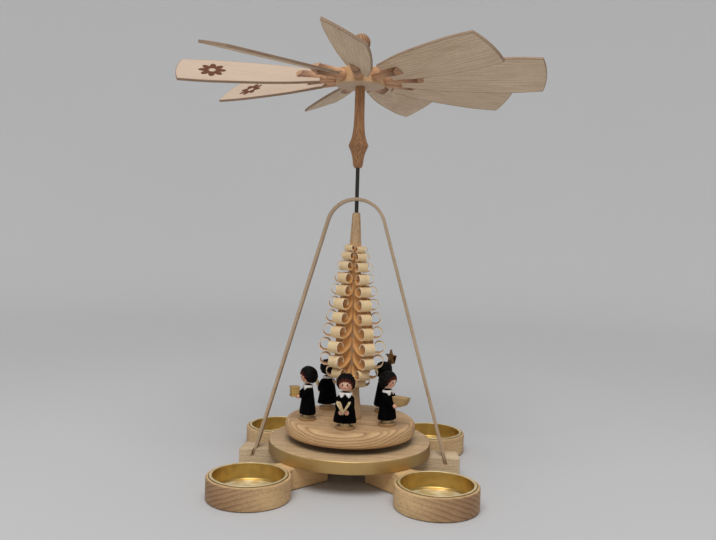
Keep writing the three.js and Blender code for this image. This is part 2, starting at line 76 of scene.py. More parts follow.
# A place at a distance from the spin axis, on a bearing in degrees.
def around(bearing, distance, height=0.0):
    return (distance * math.cos(math.radians(bearing)), distance * math.sin(math.radians(bearing)), height)


# Rounds each inner corner of a line with a parabola that starts and ends one cut away from it.
def rounded(corners, cuts, steps=4, closed=False):
    points = np.asarray(corners, float)
    cuts = np.broadcast_to(np.asarray(cuts, float), len(points))
    before, here, after = np.roll(points, 1, 0), points, np.roll(points, -1, 0)
    if not closed:
        before, here, after, cuts = before[1:-1], here[1:-1], after[1:-1], cuts[1:-1]

    def cutTowards(other):
        side = other - here
        length = np.linalg.norm(side, axis=1)
        return (here + side * (np.minimum(cuts, length * 0.49) / length)[:, None])[:, None]

    start, end = cutTowards(before), cutTowards(after)
    share = np.linspace(0, 1, steps + 1)[None, :, None]
    curve = (1 - share) ** 2 * start + 2 * share * (1 - share) * here[:, None] + share**2 * end
    curve = curve.reshape(-1, points.shape[1])
    return curve if closed else np.vstack([points[:1], curve, points[-1:]])


# A smooth line through a few points: each coordinate is a cubic between neighbours (Catmull-Rom).
def smoothLine(points, steps=8):
    points = np.asarray(points, float)
    ends = np.vstack([2 * points[0] - points[1], points, 2 * points[-1] - points[-2]])
    a, b, c, d = ends[:-3, None], ends[1:-2, None], ends[2:-1, None], ends[3:, None]
    t = np.linspace(0, 1, steps, endpoint=False)[None, :, None]
    line = 0.5 * (2 * b + (c - a) * t + (2 * a - 5 * b + 4 * c - d) * t**2 + (3 * b - a - 3 * c + d) * t**3)
    return np.vstack([line.reshape(-1, points.shape[1]), points[-1:]])


# The grid points[row, column] as quads. Rows and columns may close on themselves, end rows may be capped.
def gridSurface(points, wrapRows=False, wrapColumns=True, capStart=False, capEnd=False, finish=0,
                grain=None, own=None):
    rows, columns = points.shape[:2]
    index = np.arange(rows * columns).reshape(rows, columns)
    if wrapRows:
        index = np.vstack([index, index[:1]])
    if wrapColumns:
        index = np.hstack([index, index[:, :1]])
    corners = [index[:-1, :-1], index[1:, :-1], index[1:, 1:], index[:-1, 1:]]
    faces = np.stack(corners, -1).reshape(-1, 4).tolist()
    if capStart:
        faces.append(index[0, :columns].tolist())
    if capEnd:
        faces.append(index[-1, :columns].tolist())
    grain = points if grain is None else grain
    own = np.zeros_like(points) if own is None else own
    flat = [np.array(values, float).reshape(-1, 3) for values in (points, grain, own)]
    return {"points": flat[0], "faces": faces, "grain": flat[1], "own": flat[2], "finish": finish}


# A turned shape: the profile (radius, height) carried round the axis. The grain runs along "grainAxis".
def turned(profile, steps=64, grainAxis=2, finish=0, squash=1.0):
    profile = np.asarray(profile, float)
    angle = sweep(0, 360, steps, whole=True)
    radius, height = profile[:, :1], profile[:, 1:]
    points = together(radius * np.cos(angle) * squash, radius * np.sin(angle), height)
    grain = np.roll(points, -grainAxis, axis=2)
    return gridSurface(points, finish=finish, grain=grain)


# The outward unit normals of a closed outline in the plane, drawn anticlockwise.
def outwards(outline):
    along = unit(np.roll(outline, -1, 0) - np.roll(outline, 1, 0))
    return together(along[:, 1], -along[:, 0])


# A flat plate with softened edges: the outline, inset along a quarter circle near its two faces. own.x and
# own.y are the place on the plate, and own.z is 1 at its edge and 0 from "rim" inwards.
def plate(outline, bottom, top, edge, rim=0.4):
    quarter = sweep(0, 90, 3)
    inset = edge * (1 - np.sin(quarter))
    rise = edge * (1 - np.cos(quarter))
    insets = np.concatenate([[edge + rim], inset, inset[::-1], [edge + rim]])
    heights = np.concatenate([[bottom], bottom + rise, top - rise[::-1], [top]])
    nearness = np.concatenate([[0], np.ones(2 * len(inset)), [0]])
    flat = outline[None] - outwards(outline)[None] * insets[:, None, None]
    points = together(flat[:, :, 0], flat[:, :, 1], heights[:, None])
    own = together(flat[:, :, 0], flat[:, :, 1], nearness[:, None])
    return gridSurface(points, capStart=True, capEnd=True, own=own)


# A round limb: a circle carried along a line in space. Each point has its own radius, so an end rounds off
# where the radii shrink. "side" is a direction that the line never takes.
def tube(line, radii, steps, side):
    line = np.asarray(line, float)
    tangent = unit(np.gradient(line, axis=0))
    across = unit(np.cross(np.cross(tangent, np.broadcast_to(side, line.shape)), tangent))
    up = np.cross(tangent, across)
    section = circle(sweep(0, 360, steps, whole=True)) * np.asarray(radii, float)[:, None, None]
    points = line[:, None] + across[:, None] * section[:, :, :1] + up[:, None] * section[:, :, 1:]
    grain = together(distances(line)[:, None], section[:, :, 0], section[:, :, 1])
    return gridSurface(points, capStart=True, capEnd=True, grain=grain)


# A half circle from pole to pole, turned round the vertical.
def ball(centre, radius, steps=16, finish=0):
    angle = sweep(-90, 90, steps // 2)
    return moved(turned(circle(angle, radius), steps, finish=finish), offset=centre)


# Turns a surface about Z by a bearing in degrees and then shifts it. Grain and own stay the piece's own.
def moved(surface, bearing=0.0, offset=(0, 0, 0), turn=None):
    matrix = np.array(turn if turn is not None else Matrix.Rotation(math.radians(bearing), 3, "Z"))
    return {**surface, "points": surface["points"] @ matrix.T + np.asarray(offset, float)}


# Joins surfaces into one mesh object that rides on a body and stands for a CAD node.
def makePiece(name, surfaces, finishes, body, node, sharp=38):
    joined = {key: np.vstack([surface[key] for surface in surfaces]) for key in ("points", "grain", "own")}
    faces, start = [], 0
    for surface in surfaces:
        faces += [[start + corner for corner in face] for face in surface["faces"]]
        start += len(surface["points"])
    mesh = bpy.data.meshes.new(name)
    mesh.from_pydata((joined["points"] * mm).tolist(), [], faces)
    for key in ("grain", "own"):
        values = mesh.attributes.new(key, "FLOAT_VECTOR", "POINT")
        values.data.foreach_set("vector", joined[key].astype(np.float32).ravel())
    numbers = np.concatenate([[surface["finish"]] * len(surface["faces"]) for surface in surfaces])
    mesh.polygons.foreach_set("material_index", numbers.astype(np.int32))
    for finish in finishes:
        mesh.materials.append(finish)
    work = bmesh.new()
    work.from_mesh(mesh)
    bmesh.ops.remove_doubles(work, verts=work.verts, dist=0.0015 * mm)
    bmesh.ops.recalc_face_normals(work, faces=work.faces)
    work.to_mesh(mesh)
    work.free()
    mesh.shade_smooth()
    mesh.set_sharp_from_angle(angle=math.radians(sharp))
    piece = bpy.data.objects.new(name, mesh)
    bpy.context.scene.collection.objects.link(piece)
    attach(piece, body)
    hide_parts(node)


# The linear light of a colour given as it looks on screen, 0 to 255.
def colour(red, green, blue):
    shares = np.array([red, green, blue]) / 255
    light = np.where(shares > 0.04045, ((shares + 0.055) / 1.055) ** 2.4, shares / 12.92)
    return (float(light[0]), float(light[1]), float(light[2]), 1.0)


# One output of a node. Sums, products and powers of terms add their Math nodes.
class Term:
    def __init__(self, shader, socket):
        self.shader = shader
        self.socket = socket

    def maths(self, operation, *values):
        return self.shader.add("ShaderNodeMath", {"operation": operation}, dict(enumerate(values)))

    def __add__(self, other):
        return self.maths("ADD", self, other)

    def __sub__(self, other):
        return self.maths("SUBTRACT", self, other)

    def __rsub__(self, other):
        return self.maths("SUBTRACT", other, self)

    def __mul__(self, other):
        return self.maths("MULTIPLY", self, other)

    def __truediv__(self, other):
        return self.maths("DIVIDE", self, other)

    def __pow__(self, other):
        return self.maths("POWER", self, other)

    __radd__ = __add__
    __rmul__ = __mul__


# A material, and the ways to add nodes to it.
class Finish:
    def __init__(self, name, **fixed):
        self.material = bpy.data.materials.new(name)
        self.material.use_nodes = True
        self.tree = self.material.node_tree
        self.shader = self.tree.nodes["Principled BSDF"]
        for socket, value in fixed.items():
            self.shader.inputs[socket.replace("_", " ")].default_value = value

    # Any node: its type, its settings (set first), the values or links of its inputs, and the output wanted.
    def add(self, kind, settings=None, inputs=None, output=0):
        node = self.tree.nodes.new(kind)
        for name, value in (settings or {}).items():
            setattr(node, name, value)
        for key, value in (inputs or {}).items():
            if isinstance(value, Term):
                self.tree.links.new(value.socket, node.inputs[key])
            else:
                node.inputs[key].default_value = value
        return Term(self, node.outputs[output])

    def attribute(self, name):
        return self.add("ShaderNodeAttribute", {"attribute_name": name}, output=1)

    def place(self):
        return self.add("ShaderNodeTexCoord", output=3)

    def split(self, vector):
        first = self.add("ShaderNodeSeparateXYZ", None, {0: vector})
        return [Term(self, socket) for socket in first.socket.node.outputs]

    def join(self, x, y, z):
        return self.add("ShaderNodeCombineXYZ", None, {0: x, 1: y, 2: z})

    def mix(self, factor, first, second, blend="MIX"):
        settings = {"data_type": "RGBA", "blend_type": blend, "clamp_factor": True}
        return self.add("ShaderNodeMix", settings, {0: factor, 6: first, 7: second}, 2)

    def noise(self, vector, scale=1.0, detail=2.0):
        return self.add("ShaderNodeTexNoise", None, {"Vector": vector, "Scale": scale, "Detail": detail})

    # 0 below "low" and 1 above "high", with a smooth step between. low may be above high.
    def step(self, value, low, high):
        settings = {"interpolation_type": "SMOOTHSTEP", "clamp": True}
        return self.add("ShaderNodeMapRange", settings, {0: value, 1: low, 2: high, 3: 0.0, 4: 1.0})

    def bumped(self, height, distance):
        normal = self.add("ShaderNodeBump", None, {"Height": height, "Distance": distance, "Strength": 1.0})
        self.set("Normal", normal)

    def set(self, socket, value):
        self.tree.links.new(value.socket, self.shader.inputs[socket])


# Wood: growth rings are circles round the pith, which lies along the grain; fibres and pores are noise drawn
# out along the grain; beech has short brown ray flecks. Everything reads the "grain" attribute, in mm. Below
# are the noise's scales along and across the grain, and its detail.
figure = {
    "wander": (0.012, 0.05, 2.0), "fibres": (0.06, 1.5, 3.0), "pores": (0.35, 5, 1.0),
    "flecks": (0.5, 2.6, 0.0), "patches": (0.03, 0.09, 1.0),
}


def woodFinish(name, look, paint=None):
    finish = Finish(name, Roughness=look["roughness"], Specular_IOR_Level=look["gloss"])
    along, across, up = finish.split(finish.attribute("grain"))
    noises = {}
    for part, (lengthwise, crosswise, detail) in figure.items():
        stretched = finish.join(along * lengthwise, across * crosswise, up * crosswise)
        noises[part] = finish.noise(stretched, 1.0, detail)
    side = across - look["pith"][0]
    deep = up - look["pith"][1]
    distance = (side * side + deep * deep) ** 0.5 + (noises["wander"] - 0.5) * look["wander"]
    share = (distance / look["ring"]).maths("FRACT", distance / look["ring"])
    ring = share**3 * finish.step(share, 1.0, 0.9)
    fibres = noises["fibres"]
    pores = finish.step(noises["pores"], 0.56, 0.72)
    flecks = finish.step(noises["flecks"], 0.68, 0.76)
    rings = look["rings"]
    if "ownRings" in look:
        rings = finish.split(finish.attribute("own"))[0] * look["ownRings"] + rings
    tone = ring * rings + (fibres - 0.5) * look["fibres"] + pores * look["pores"]
    tone = tone + (noises["patches"] - 0.5) * 0.5
    body = finish.mix(tone + 0.12, look["pale"], look["dark"])
    body = finish.mix(flecks * look["flecks"], body, look["fleck"])
    if paint:
        body = paint(finish, body)
    finish.set("Base Color", body)
    finish.set("Roughness", look["roughness"] + (fibres - 0.5) * 0.16 + pores * 0.08)
    finish.bumped(fibres * 0.6 - ring * 0.35 - pores * 0.4, look["relief"] * mm)
    return finish.material


beechLook = {
    "pale": colour(212, 183, 143), "dark": colour(152, 116, 80), "fleck": colour(118, 80, 52),
    "ring": 1.7, "rings": 0.4, "fibres": 0.7, "pores": 0.25, "flecks": 0.45,
    "pith": (0.0, -130.0), "wander": 4.0, "roughness": 0.55, "relief": 0.05, "gloss": 0.2,
}
barLook = {**beechLook, "pale": colour(220, 196, 160), "dark": colour(156, 124, 92)}
tableLook = {
    **beechLook, "pale": colour(212, 176, 132), "dark": colour(112, 68, 38), "rings": 0.3, "ownRings": 0.85,
    "wander": 5.0, "ring": 1.8, "pith": (16.0, -125.0),
}
armLook = {
    **beechLook, "pale": colour(220, 186, 138), "dark": colour(118, 78, 52), "ring": 2.5,
    "pith": (62.0, -125.0), "rings": 0.15, "ownRings": 0.75,
}
archLook = {
    **beechLook, "pale": colour(198, 175, 148), "dark": colour(150, 122, 94), "ring": 0.9,
    "pith": (0.0, -30.0),
}
spindleLook = {
    **beechLook, "pale": colour(184, 136, 96), "dark": colour(92, 58, 36), "fleck": colour(78, 46, 28),
    "ring": 1.1, "pith": (1.0, -9.0), "wander": 1.5, "fibres": 1.4, "flecks": 0.6, "roughness": 0.5,
}
hubLook = {
    **beechLook, "pale": colour(214, 172, 124), "dark": colour(160, 114, 72), "ring": 1.3,
    "pith": (0.0, -40.0),
}
ballLook = {
    **beechLook, "pale": colour(180, 138, 100), "dark": colour(84, 52, 32), "ring": 1.5, "pith": (6.0, 0.0),
    "wander": 1.5, "rings": 1.0,
}
dowelLook = {
    **spindleLook, "pale": colour(218, 170, 132), "dark": colour(124, 84, 56), "fleck": colour(92, 58, 36),
    "pores": 0.4, "flecks": 0.8, "fibres": 1.2,
}
trunkLook = {**spindleLook, "pale": colour(206, 174, 136), "dark": colour(164, 128, 92), "rings": 0.35}
footLook = {**beechLook, "pale": colour(238, 208, 158), "dark": colour(168, 126, 78), "rings": 0.2}
bookLook = {
    **beechLook, "pale": colour(248, 226, 180), "dark": colour(150, 118, 78), "ring": 0.8, "rings": 0.8,
    "wander": 0.5,
}
bladeLook = {
    **beechLook, "pale": colour(224, 202, 176), "dark": colour(160, 130, 98), "fleck": colour(160, 126, 92),
    "pith": (90.0, 3.0), "wander": 8.0, "fibres": 0.9, "flecks": 0.3, "gloss": 0.02,
}
shavingLook = {
    **beechLook, "pale": colour(238, 214, 172), "dark": colour(206, 166, 114), "fleck": colour(190, 146, 96),
    "ring": 1.4, "pith": (40.0, 2.0), "rings": 0.3, "fibres": 0.5, "flecks": 0.1, "roughness": 0.6,
}


# Colours that lie over the wood or paint in some places.
tints = {
    "cutEnd": colour(92, 58, 38), "endGrainAndShade": colour(124, 86, 62), "armSpokeLight": colour(250, 204, 140),
    "cupJointShade": colour(58, 42, 26), "hubUndersideShade": colour(196, 178, 160), "tableSideLight": colour(236, 196, 146),
    "tableUndersideShadow": colour(56, 38, 24), "footRim": colour(148, 108, 66), "curlInnerShade": colour(214, 150, 88),
    "curlRootShadeAndGlow": colour(236, 178, 110), "curlEdgeHighlight": colour(255, 244, 222), "curlOther": colour(226, 182, 124),
    "brushing": colour(240, 222, 168), "rimEndsShade": colour(120, 88, 44), "fringe": colour(92, 34, 22),
}


# Blades: edges singed brown, and a burnt-in rosette of petals on the upper face, each an ellipse. The upper
# face is also painted greyer and darker than the underside: painted shade that tones down the stronger light
# from above. own.x runs along the blade, with "undersideMark" added on the underside, and own.y across it.
rosette = {
    "alongBlade": 90.5, "radius": 8.3, "petals": 8, "petalMiddle": 0.62, "petalLength": 0.39,
    "petalWidth": 0.235, "undersideMark": 500.0, "brown": colour(94, 54, 34), "edge": colour(104, 70, 44),
    "upperFaceShade": colour(184, 164, 149),
}


def burntBlade(finish, body):
    along, across, edge = finish.split(finish.attribute("own"))
    x = along - rosette["alongBlade"]
    distance = (x * x + across * across) ** 0.5 / rosette["radius"]
    turns = across.maths("ARCTAN2", across, x) * (rosette["petals"] / math.tau)
    angle = (turns.maths("FRACT", turns + 0.5) - 0.5) * (math.tau / rosette["petals"])
    out = (distance * angle.maths("COSINE", angle) - rosette["petalMiddle"]) / rosette["petalLength"]
    beside = distance * angle.maths("SINE", angle) / rosette["petalWidth"]
    petal = finish.step(out * out + beside * beside, 1.12, 0.88)
    upper = finish.step(along, rosette["undersideMark"] * 0.62, rosette["undersideMark"] * 0.6)
    # Painted shade on the upper face, which gets the stronger light.
    body = finish.mix(upper * 0.65, body, rosette["upperFaceShade"])
    body = finish.mix(petal * 0.95, body, rosette["brown"])
    return finish.mix(edge * 0.55, body, rosette["edge"])


# Dowels: the cut ends of the prongs are darker.
def cutEnd(finish, body):
    end, _, _ = finish.split(finish.attribute("own"))
    return finish.mix(end * 0.8, body, tints["cutEnd"])


# Arms: own.x is the end grain's share, painted darker: partly the end grain's own tone and partly painted
# shade where the cup's far side turns away from the light. own.y marks the joint round the brass flange, a
# dark line that is also a painted contact shadow. own.z is 1 on the arm itself, painted brighter than its
# cup: painted light on the arm's shaded sides.
def armPaint(finish, body):
    endGrainAndShade, joint, inner = finish.split(finish.attribute("own"))
    body = finish.mix(endGrainAndShade * 0.62, body, tints["endGrainAndShade"])
    # The arm is painted brighter than its cup: painted light on its shaded sides.
    body = finish.mix(inner * 0.35, body, tints["armSpokeLight"])
    # A dark joint line round the brass flange, deepened as a painted contact shadow.
    return finish.mix(joint * 0.85, body, tints["cupJointShade"])


# The hub's underside, where own.x is 1, is painted greyer: painted shade, the look of the wood lit only
# from below.
def hubPaint(finish, body):
    underside, _, _ = finish.split(finish.attribute("own"))
    return finish.mix(underside * 0.6, body, tints["hubUndersideShade"])


# The turntable's side, own.x, is painted warmer and brighter than its top: painted light, since the wheel and
# the figures shade the top from the light above. Its underside, own.y, is painted dark: a painted shadow in
# the gap above the base disc.
def tablePaint(finish, body):
    side, underside, _ = finish.split(finish.attribute("own"))
    body = finish.mix(side * 0.3, body, tints["tableSideLight"])
    # Painted shadow on the underside, in the gap above the base disc.
    return finish.mix(underside * 0.8, body, tints["tableUndersideShadow"])


# Foot rings: the rim and the side are browner than the sunk floor.
def footPaint(finish, body):
    x, y, _ = finish.split(finish.attribute("grain"))
    radius = (x * x + y * y) ** 0.5
    rim = finish.step(radius, 4.1, 4.4)
    return finish.mix(rim * 0.8, body, tints["footRim"])


# Shavings: own.x runs from the root to the free end, own.y across, with 10 added on the inner face. The inner
# face is painted darker and more orange, a painted shade inside the curl; the root is painted orange-tan,
# painted shade warmed by light bounced between the curls and shining through them; the two edges are painted
# pale, a painted highlight where they catch the light.
def shavingPaint(finish, body):
    share, across, chance = finish.split(finish.attribute("own"))
    inner = finish.step(across, 5.0, 6.0)
    across = across - inner * 10
    # Painted shade on the inner face.
    body = finish.mix(inner * 0.5, body, tints["curlInnerShade"])
    # The root is painted orange-tan: painted shade warmed by light bounced between the curls and shining
    # through them.
    root = finish.step(share, 0.4, 0.24)
    body = finish.mix(root * 0.85, body, tints["curlRootShadeAndGlow"])
    # Painted highlight along the two edges.
    edge = finish.step(across * across, 0.8, 1.0)
    body = finish.mix(edge * finish.step(share, 0.3, 0.45) * 0.8, body, tints["curlEdgeHighlight"])
    return finish.mix(chance * 0.25, body, tints["curlOther"])


beech = woodFinish("beechOfTheStand", beechLook)
barWood = woodFinish("barWood", barLook)
tableWood = woodFinish("turntableWood", tableLook, tablePaint)
armWood = woodFinish("armWood", armLook, armPaint)
archWood = woodFinish("bentArchWood", archLook)
spindleWood = woodFinish("turnedSpindleWood", spindleLook)
hubWood = woodFinish("hubWood", hubLook, hubPaint)
ballWood = woodFinish("ballWood", ballLook)
dowelWood = woodFinish("slottedDowels", dowelLook, cutEnd)
trunkWood = woodFinish("treeTrunkWood", trunkLook)
footWood = woodFinish("footRings", footLook, footPaint)
bookWood = woodFinish("songBooks", bookLook)
bowedWood = woodFinish("bowedBook", {**bookLook, "pale": colour(182, 154, 108), "ring": 1.2})
bladeWood = woodFinish("bladeWood", bladeLook, burntBlade)
shavingWood = woodFinish("curledShavings", shavingLook, shavingPaint)


disc = {"radius": 50.8, "bottom": 13.0, "top": 20.9, "edge": 0.9, "pocket": 4.3, "pocketFloor": 14.6}


# Brass: brushed round its own axis, with a few duller clouds and finger marks.
def brassFinish(name, body, second, roughness, waves, metallic=1.0):
    finish = Finish(name, Metallic=metallic)
    x, y, z = finish.split(finish.attribute("grain"))
    distance = (x * x + y * y) ** 0.5
    brushed = finish.noise(finish.join(distance * 9, z * 9, 0.0), 1.0, 2.0)
    clouds = finish.noise(finish.attribute("grain"), 0.2, 0.5)
    body = finish.mix(finish.step(clouds, 0.35, 0.7), body, second)
    finish.set("Base Color", finish.mix(brushed * 0.3, body, tints["brushing"]))
    finish.set("Roughness", roughness + brushed * 0.12 + clouds * 0.12)
    finish.bumped(brushed * 0.4 + clouds * waves, 0.1 * mm)
    return finish.material


# Gold paint: fine metal flakes in a matt lacquer. Towards the left and right of the disc it is painted
# darker, a painted reflection of a darker room at the sides.
def goldFinish(name, body, dark):
    finish = Finish(name, Specular_IOR_Level=0.5)
    place = finish.attribute("grain")
    flakes = finish.noise(place, 4.0, 2.0)
    strokes = finish.noise(place, 0.12, 3.0)
    body = finish.mix(flakes * 0.4 + strokes * 0.6, dark, body)
    aside, _, _ = finish.split(place)
    # Painted reflection: darker towards the disc's left and right ends.
    ends = finish.step(aside.maths("ABSOLUTE", aside), disc["radius"] * 0.5, disc["radius"])
    finish.set("Base Color", finish.mix(ends * 0.6, body, tints["rimEndsShade"]))
    finish.set("Metallic", 0.7 + flakes * 0.2)
    finish.set("Roughness", 0.36 + strokes * 0.14)
    finish.bumped(flakes, 0.02 * mm)
    return finish.material


def steelFinish():
    finish = Finish("darkSteel", Metallic=0.9)
    x, y, z = finish.split(finish.attribute("grain"))
    marks = finish.noise(finish.join(x * 6, y * 6, z * 0.12), 1.0, 2.0)
    finish.set("Base Color", finish.mix(marks, colour(44, 42, 40), colour(84, 80, 76)))
    finish.set("Roughness", 0.28 + marks * 0.2)
    finish.bumped(marks, 0.02 * mm)
    return finish.material


# Paint on small turned figures: brush marks, a slightly uneven tone and a soft sheen.
def paintFinish(name, body, second, roughness=0.55, relief=0.03, gloss=0.35):
    finish = Finish(name, Specular_IOR_Level=gloss)
    place = finish.attribute("grain")
    strokes = finish.noise(place, 0.9, 3.0)
    finish.set("Base Color", finish.mix(finish.step(strokes, 0.35, 0.7), body, second))
    finish.set("Roughness", roughness + strokes * 0.2)
    finish.bumped(strokes, relief * mm)
    return finish.material


# A plain painted doll's face. own is the place on the head as a share of its radius: forward, left, up.
face = {
    "eyes": (0.3, -0.1), "eyeSize": 0.1, "eyeTall": 1.3, "cheeks": (0.48, -0.36), "cheekSize": 0.24,
    "mouth": (0.0, -0.52), "mouthSize": 0.1, "mouthTall": 0.5, "skin": colour(238, 196, 170),
    "darkerSkin": colour(226, 178, 150), "blush": colour(204, 96, 78), "eye": colour(24, 16, 14),
    "lips": colour(156, 44, 40),
}


def faceFinish():
    finish = Finish("paintedFace", Specular_IOR_Level=0.35)
    forward, left, up = finish.split(finish.attribute("own"))
    aside = left.maths("ABSOLUTE", left)
    ahead = finish.step(forward, 0.05, 0.2)
    mottle = finish.noise(finish.attribute("grain"), 0.8, 2.0)
    body = finish.mix(mottle, face["skin"], face["darkerSkin"])

    def spot(place, size, soft, tall=1.0):
        y = aside - place[0]
        z = (up - place[1]) * (1 / tall)
        return finish.step((y * y + z * z) ** 0.5, size * (1 + soft), size * (1 - soft)) * ahead

    body = finish.mix(spot(face["cheeks"], face["cheekSize"], 0.6) * 0.55, body, face["blush"])
    body = finish.mix(spot(face["eyes"], face["eyeSize"], 0.15, face["eyeTall"]), body, face["eye"])
    mouth = spot(face["mouth"], face["mouthSize"], 0.3, face["mouthTall"])
    body = finish.mix(mouth * 0.8, body, face["lips"])
    finish.set("Base Color", body)
    finish.set("Roughness", 0.42 + mottle * 0.16)
    finish.bumped(mottle, 0.02 * mm)
    return finish.material


brass = brassFinish("spunBrass", colour(200, 166, 90), colour(182, 148, 74), 0.24, 1.0)
# The floor and the flange are painted paler and made less metallic: a painted reflection of a bright ceiling.
brassFloorReflection = brassFinish("pressedBrassFloorReflection", colour(255, 248, 226), colour(224, 202, 150), 0.12, 7.0, 0.5)
brassLipReflection = brassFinish("brassFlangeReflection", colour(238, 218, 172), colour(214, 190, 138), 0.3, 1.0, 0.6)
goldRim = goldFinish("goldRim", colour(206, 176, 118), colour(178, 144, 86))
goldProp = goldFinish("goldLantern", colour(232, 198, 126), colour(160, 122, 64))
starGold = goldFinish("goldStar", colour(168, 128, 76), colour(112, 78, 42))
steel = steelFinish()
black = paintFinish("blackGowns", colour(2, 2, 3), colour(6, 6, 7), 0.7, 0.05, 0.04)
white = paintFinish("whiteCollars", colour(236, 232, 226), colour(214, 208, 200), 0.6)
skin = paintFinish("handSkin", colour(232, 180, 156), colour(214, 154, 130), 0.5)


# Hair: black with fine strands; own.x is 1 along the fringe, which is dark brown.
def hairFinish():
    finish = Finish("blackHair", Specular_IOR_Level=0.1)
    fringe, along, across = finish.split(finish.attribute("own"))
    strands = finish.noise(finish.join(along * 1.2, across * 14, 0.0), 1.0, 2.0)
    body = finish.mix(strands, colour(3, 3, 3), colour(12, 10, 9))
    finish.set("Base Color", finish.mix(fringe * 0.9, body, tints["fringe"]))
    finish.set("Roughness", 0.5 + strands * 0.2)
    finish.bumped(strands, 0.12 * mm)
    return finish.material


hairPaint = hairFinish()
facePaint = faceFinish()
print("finishes made")


stand = {
    "height": 13.0, "barLength": 138.4, "barWidth": 17.0, "corner": 2.5, "edge": 0.7, "slotPlay": 0.12,
    "slotDeeper": 0.3, "armBearing": 47.3, "armHalfWidth": 6.75, "armStart": 24.0,
    "fillet": 8.0, "cupDistance": 77.8, "cupRadius": 24.0, "cupEdge": 0.9, "underEdge": 0.8,
    "wellRadius": 21.3, "wellDepth": 10.1,
}
arch = {
    "footX": 60.5, "footZ": 8.9, "top": 172.5, "crown": 18.2, "thickness": 2.0, "width": 8.0, "edge": 0.45,
    "hole": 1.5,
}


# The height of the centre of the arch's round crown, and the lean of its straight legs in radians.
def archLine():
    centre = arch["top"] - arch["thickness"] / 2 - arch["crown"]
    dx, dz = arch["footX"], arch["footZ"] - centre
    lean = math.atan2(dz, dx) + math.acos(arch["crown"] / math.hypot(dx, dz))
    return centre, lean


# The bar: its outline seen from the front, with a slot for each foot of the arch, carried across its width.
# Near the two sides the outline shrinks by a rounded edge, and the ends follow the plan's round corners.
def crossBar():
    _, lean = archLine()
    length, wide, height, corner, edge = pick(stand, "barLength", "barWidth", "height", "corner", "edge")
    half, wide = length / 2, wide / 2
    gap = arch["thickness"] / 2 + stand["slotPlay"]
    down = np.array([math.sin(lean), -math.cos(lean)])
    out = np.array([math.cos(lean), math.sin(lean)])
    foot = np.array([arch["footX"], arch["footZ"] - stand["slotDeeper"]])
    inner, outer = foot - out * gap, foot + out * gap
    mouth = [point + down * (height - point[1]) / down[1] for point in (inner, outer)]
    right = [(half, 0), (half, height), mouth[1], outer, inner, mouth[0]]
    left = [(-x, z) for x, z in reversed(right)]
    cuts = np.array([2.2 * edge, 2.2 * edge, 0.05, 0.05, 0.05, 0.05])
    outline = rounded(right + left, np.concatenate([cuts, cuts[::-1]]), 4, closed=True)
    quarter = sweep(0, 90, 4)
    near = edge * (1 - np.cos(quarter)) - wide
    inset = edge * (1 - np.sin(quarter))
    y = np.concatenate([near, np.linspace(1.2 - wide, wide - 1.2, 14), -near[::-1]])[:, None]
    inset = np.concatenate([inset, np.zeros(14), inset[::-1]])[:, None]
    beyond = np.maximum(np.abs(y) - (wide - corner), 0)
    pulled = corner - np.sqrt(np.maximum(corner**2 - beyond**2, 0))
    atEnd = (np.abs(outline[:, 0]) > half - 1.5) * np.sign(outline[:, 0])
    bySlot = (np.abs(outline[:, 0]) < half - 3) & (outline[:, 1] > 1)
    inwards = outwards(outline) * np.where(bySlot, 0, 1)[:, None]
    x = outline[:, 0] - inwards[:, 0] * inset - atEnd * pulled
    z = outline[:, 1] - inwards[:, 1] * inset
    return gridSurface(together(x, y, z), capStart=True, capEnd=True)


# An arm along +X with its cup: rings of the outline about the cup's centre, from the well's floor up over the
# rim and down the side to the underside.
def candleArm():
    half, fillet, radius, well = pick(stand, "armHalfWidth", "fillet", "cupRadius", "wellRadius")
    height, edge, under, depth = pick(stand, "height", "cupEdge", "underEdge", "wellDepth")
    reach = math.sqrt((radius + fillet) ** 2 - (half + fillet) ** 2)
    turn = math.degrees(math.atan2(half + fillet, reach))
    front = circle(sweep(90, turn, 8), fillet) - [reach, half + fillet]
    rim = circle(sweep(turn - 180, 180 - turn, 72)[1:-1], radius)
    start = stand["armStart"] - stand["cupDistance"]
    nearer = together(np.linspace(start, -reach, 10)[:-1], -half)
    end = together(start, np.linspace(half, -half, 5)[1:-1])
    outline = np.vstack([nearer, front, rim, front[::-1] * [1, -1], nearer[::-1] * [1, -1], end])
    normals = outwards(outline)
    spoke = circle(np.arctan2(outline[:, 1], outline[:, 0]))
    floor = height - depth
    quarter = sweep(0, 90, 5)
    # Each row: the flat outline, its height, the end grain's share (painted darker, partly as painted shade)
    # and the joint's (a dark line, partly a painted contact shadow).
    rows = [(0 * spoke, floor, 0, 0), (spoke * well, floor, 0, 0), (spoke * well, height - 0.3, 0, 1)]
    rows += [(spoke * (well + out), height, 0, joint) for out, joint in ((0.3, 1), (1.1, 1), (1.4, 0))]
    for a in quarter:
        inset, drop = 1 - math.sin(a), 1 - math.cos(a)
        rows.append((outline - normals * edge * inset, height - edge * drop, math.sin(a), 0))
    for a in quarter[::-1]:
        inset, rise = 1 - math.sin(a), 1 - math.cos(a)
        rows.append((outline - normals * under * inset, under * rise, math.sin(a), 0))
    rows += [(0 * spoke, 0.0, 0, 0)]
    flat, heights, ends, joints = (np.array(column) for column in zip(*rows))
    points = together(flat[:, :, 0] + stand["cupDistance"], flat[:, :, 1], heights[:, None])
    # The cup's far side is painted darker: end grain, deepened as painted shade where it turns from the
    # light.
    endGrainAndShade = ends[:, None] * np.maximum(normals[:, 0], 0) ** 1.5
    # own.z: how far along the arm, where it is painted brighter as painted light.
    inner = np.clip((4 - reach - outline[:, 0]) / 8, 0, 1)
    return gridSurface(points, own=together(endGrainAndShade, joints[:, None], inner))


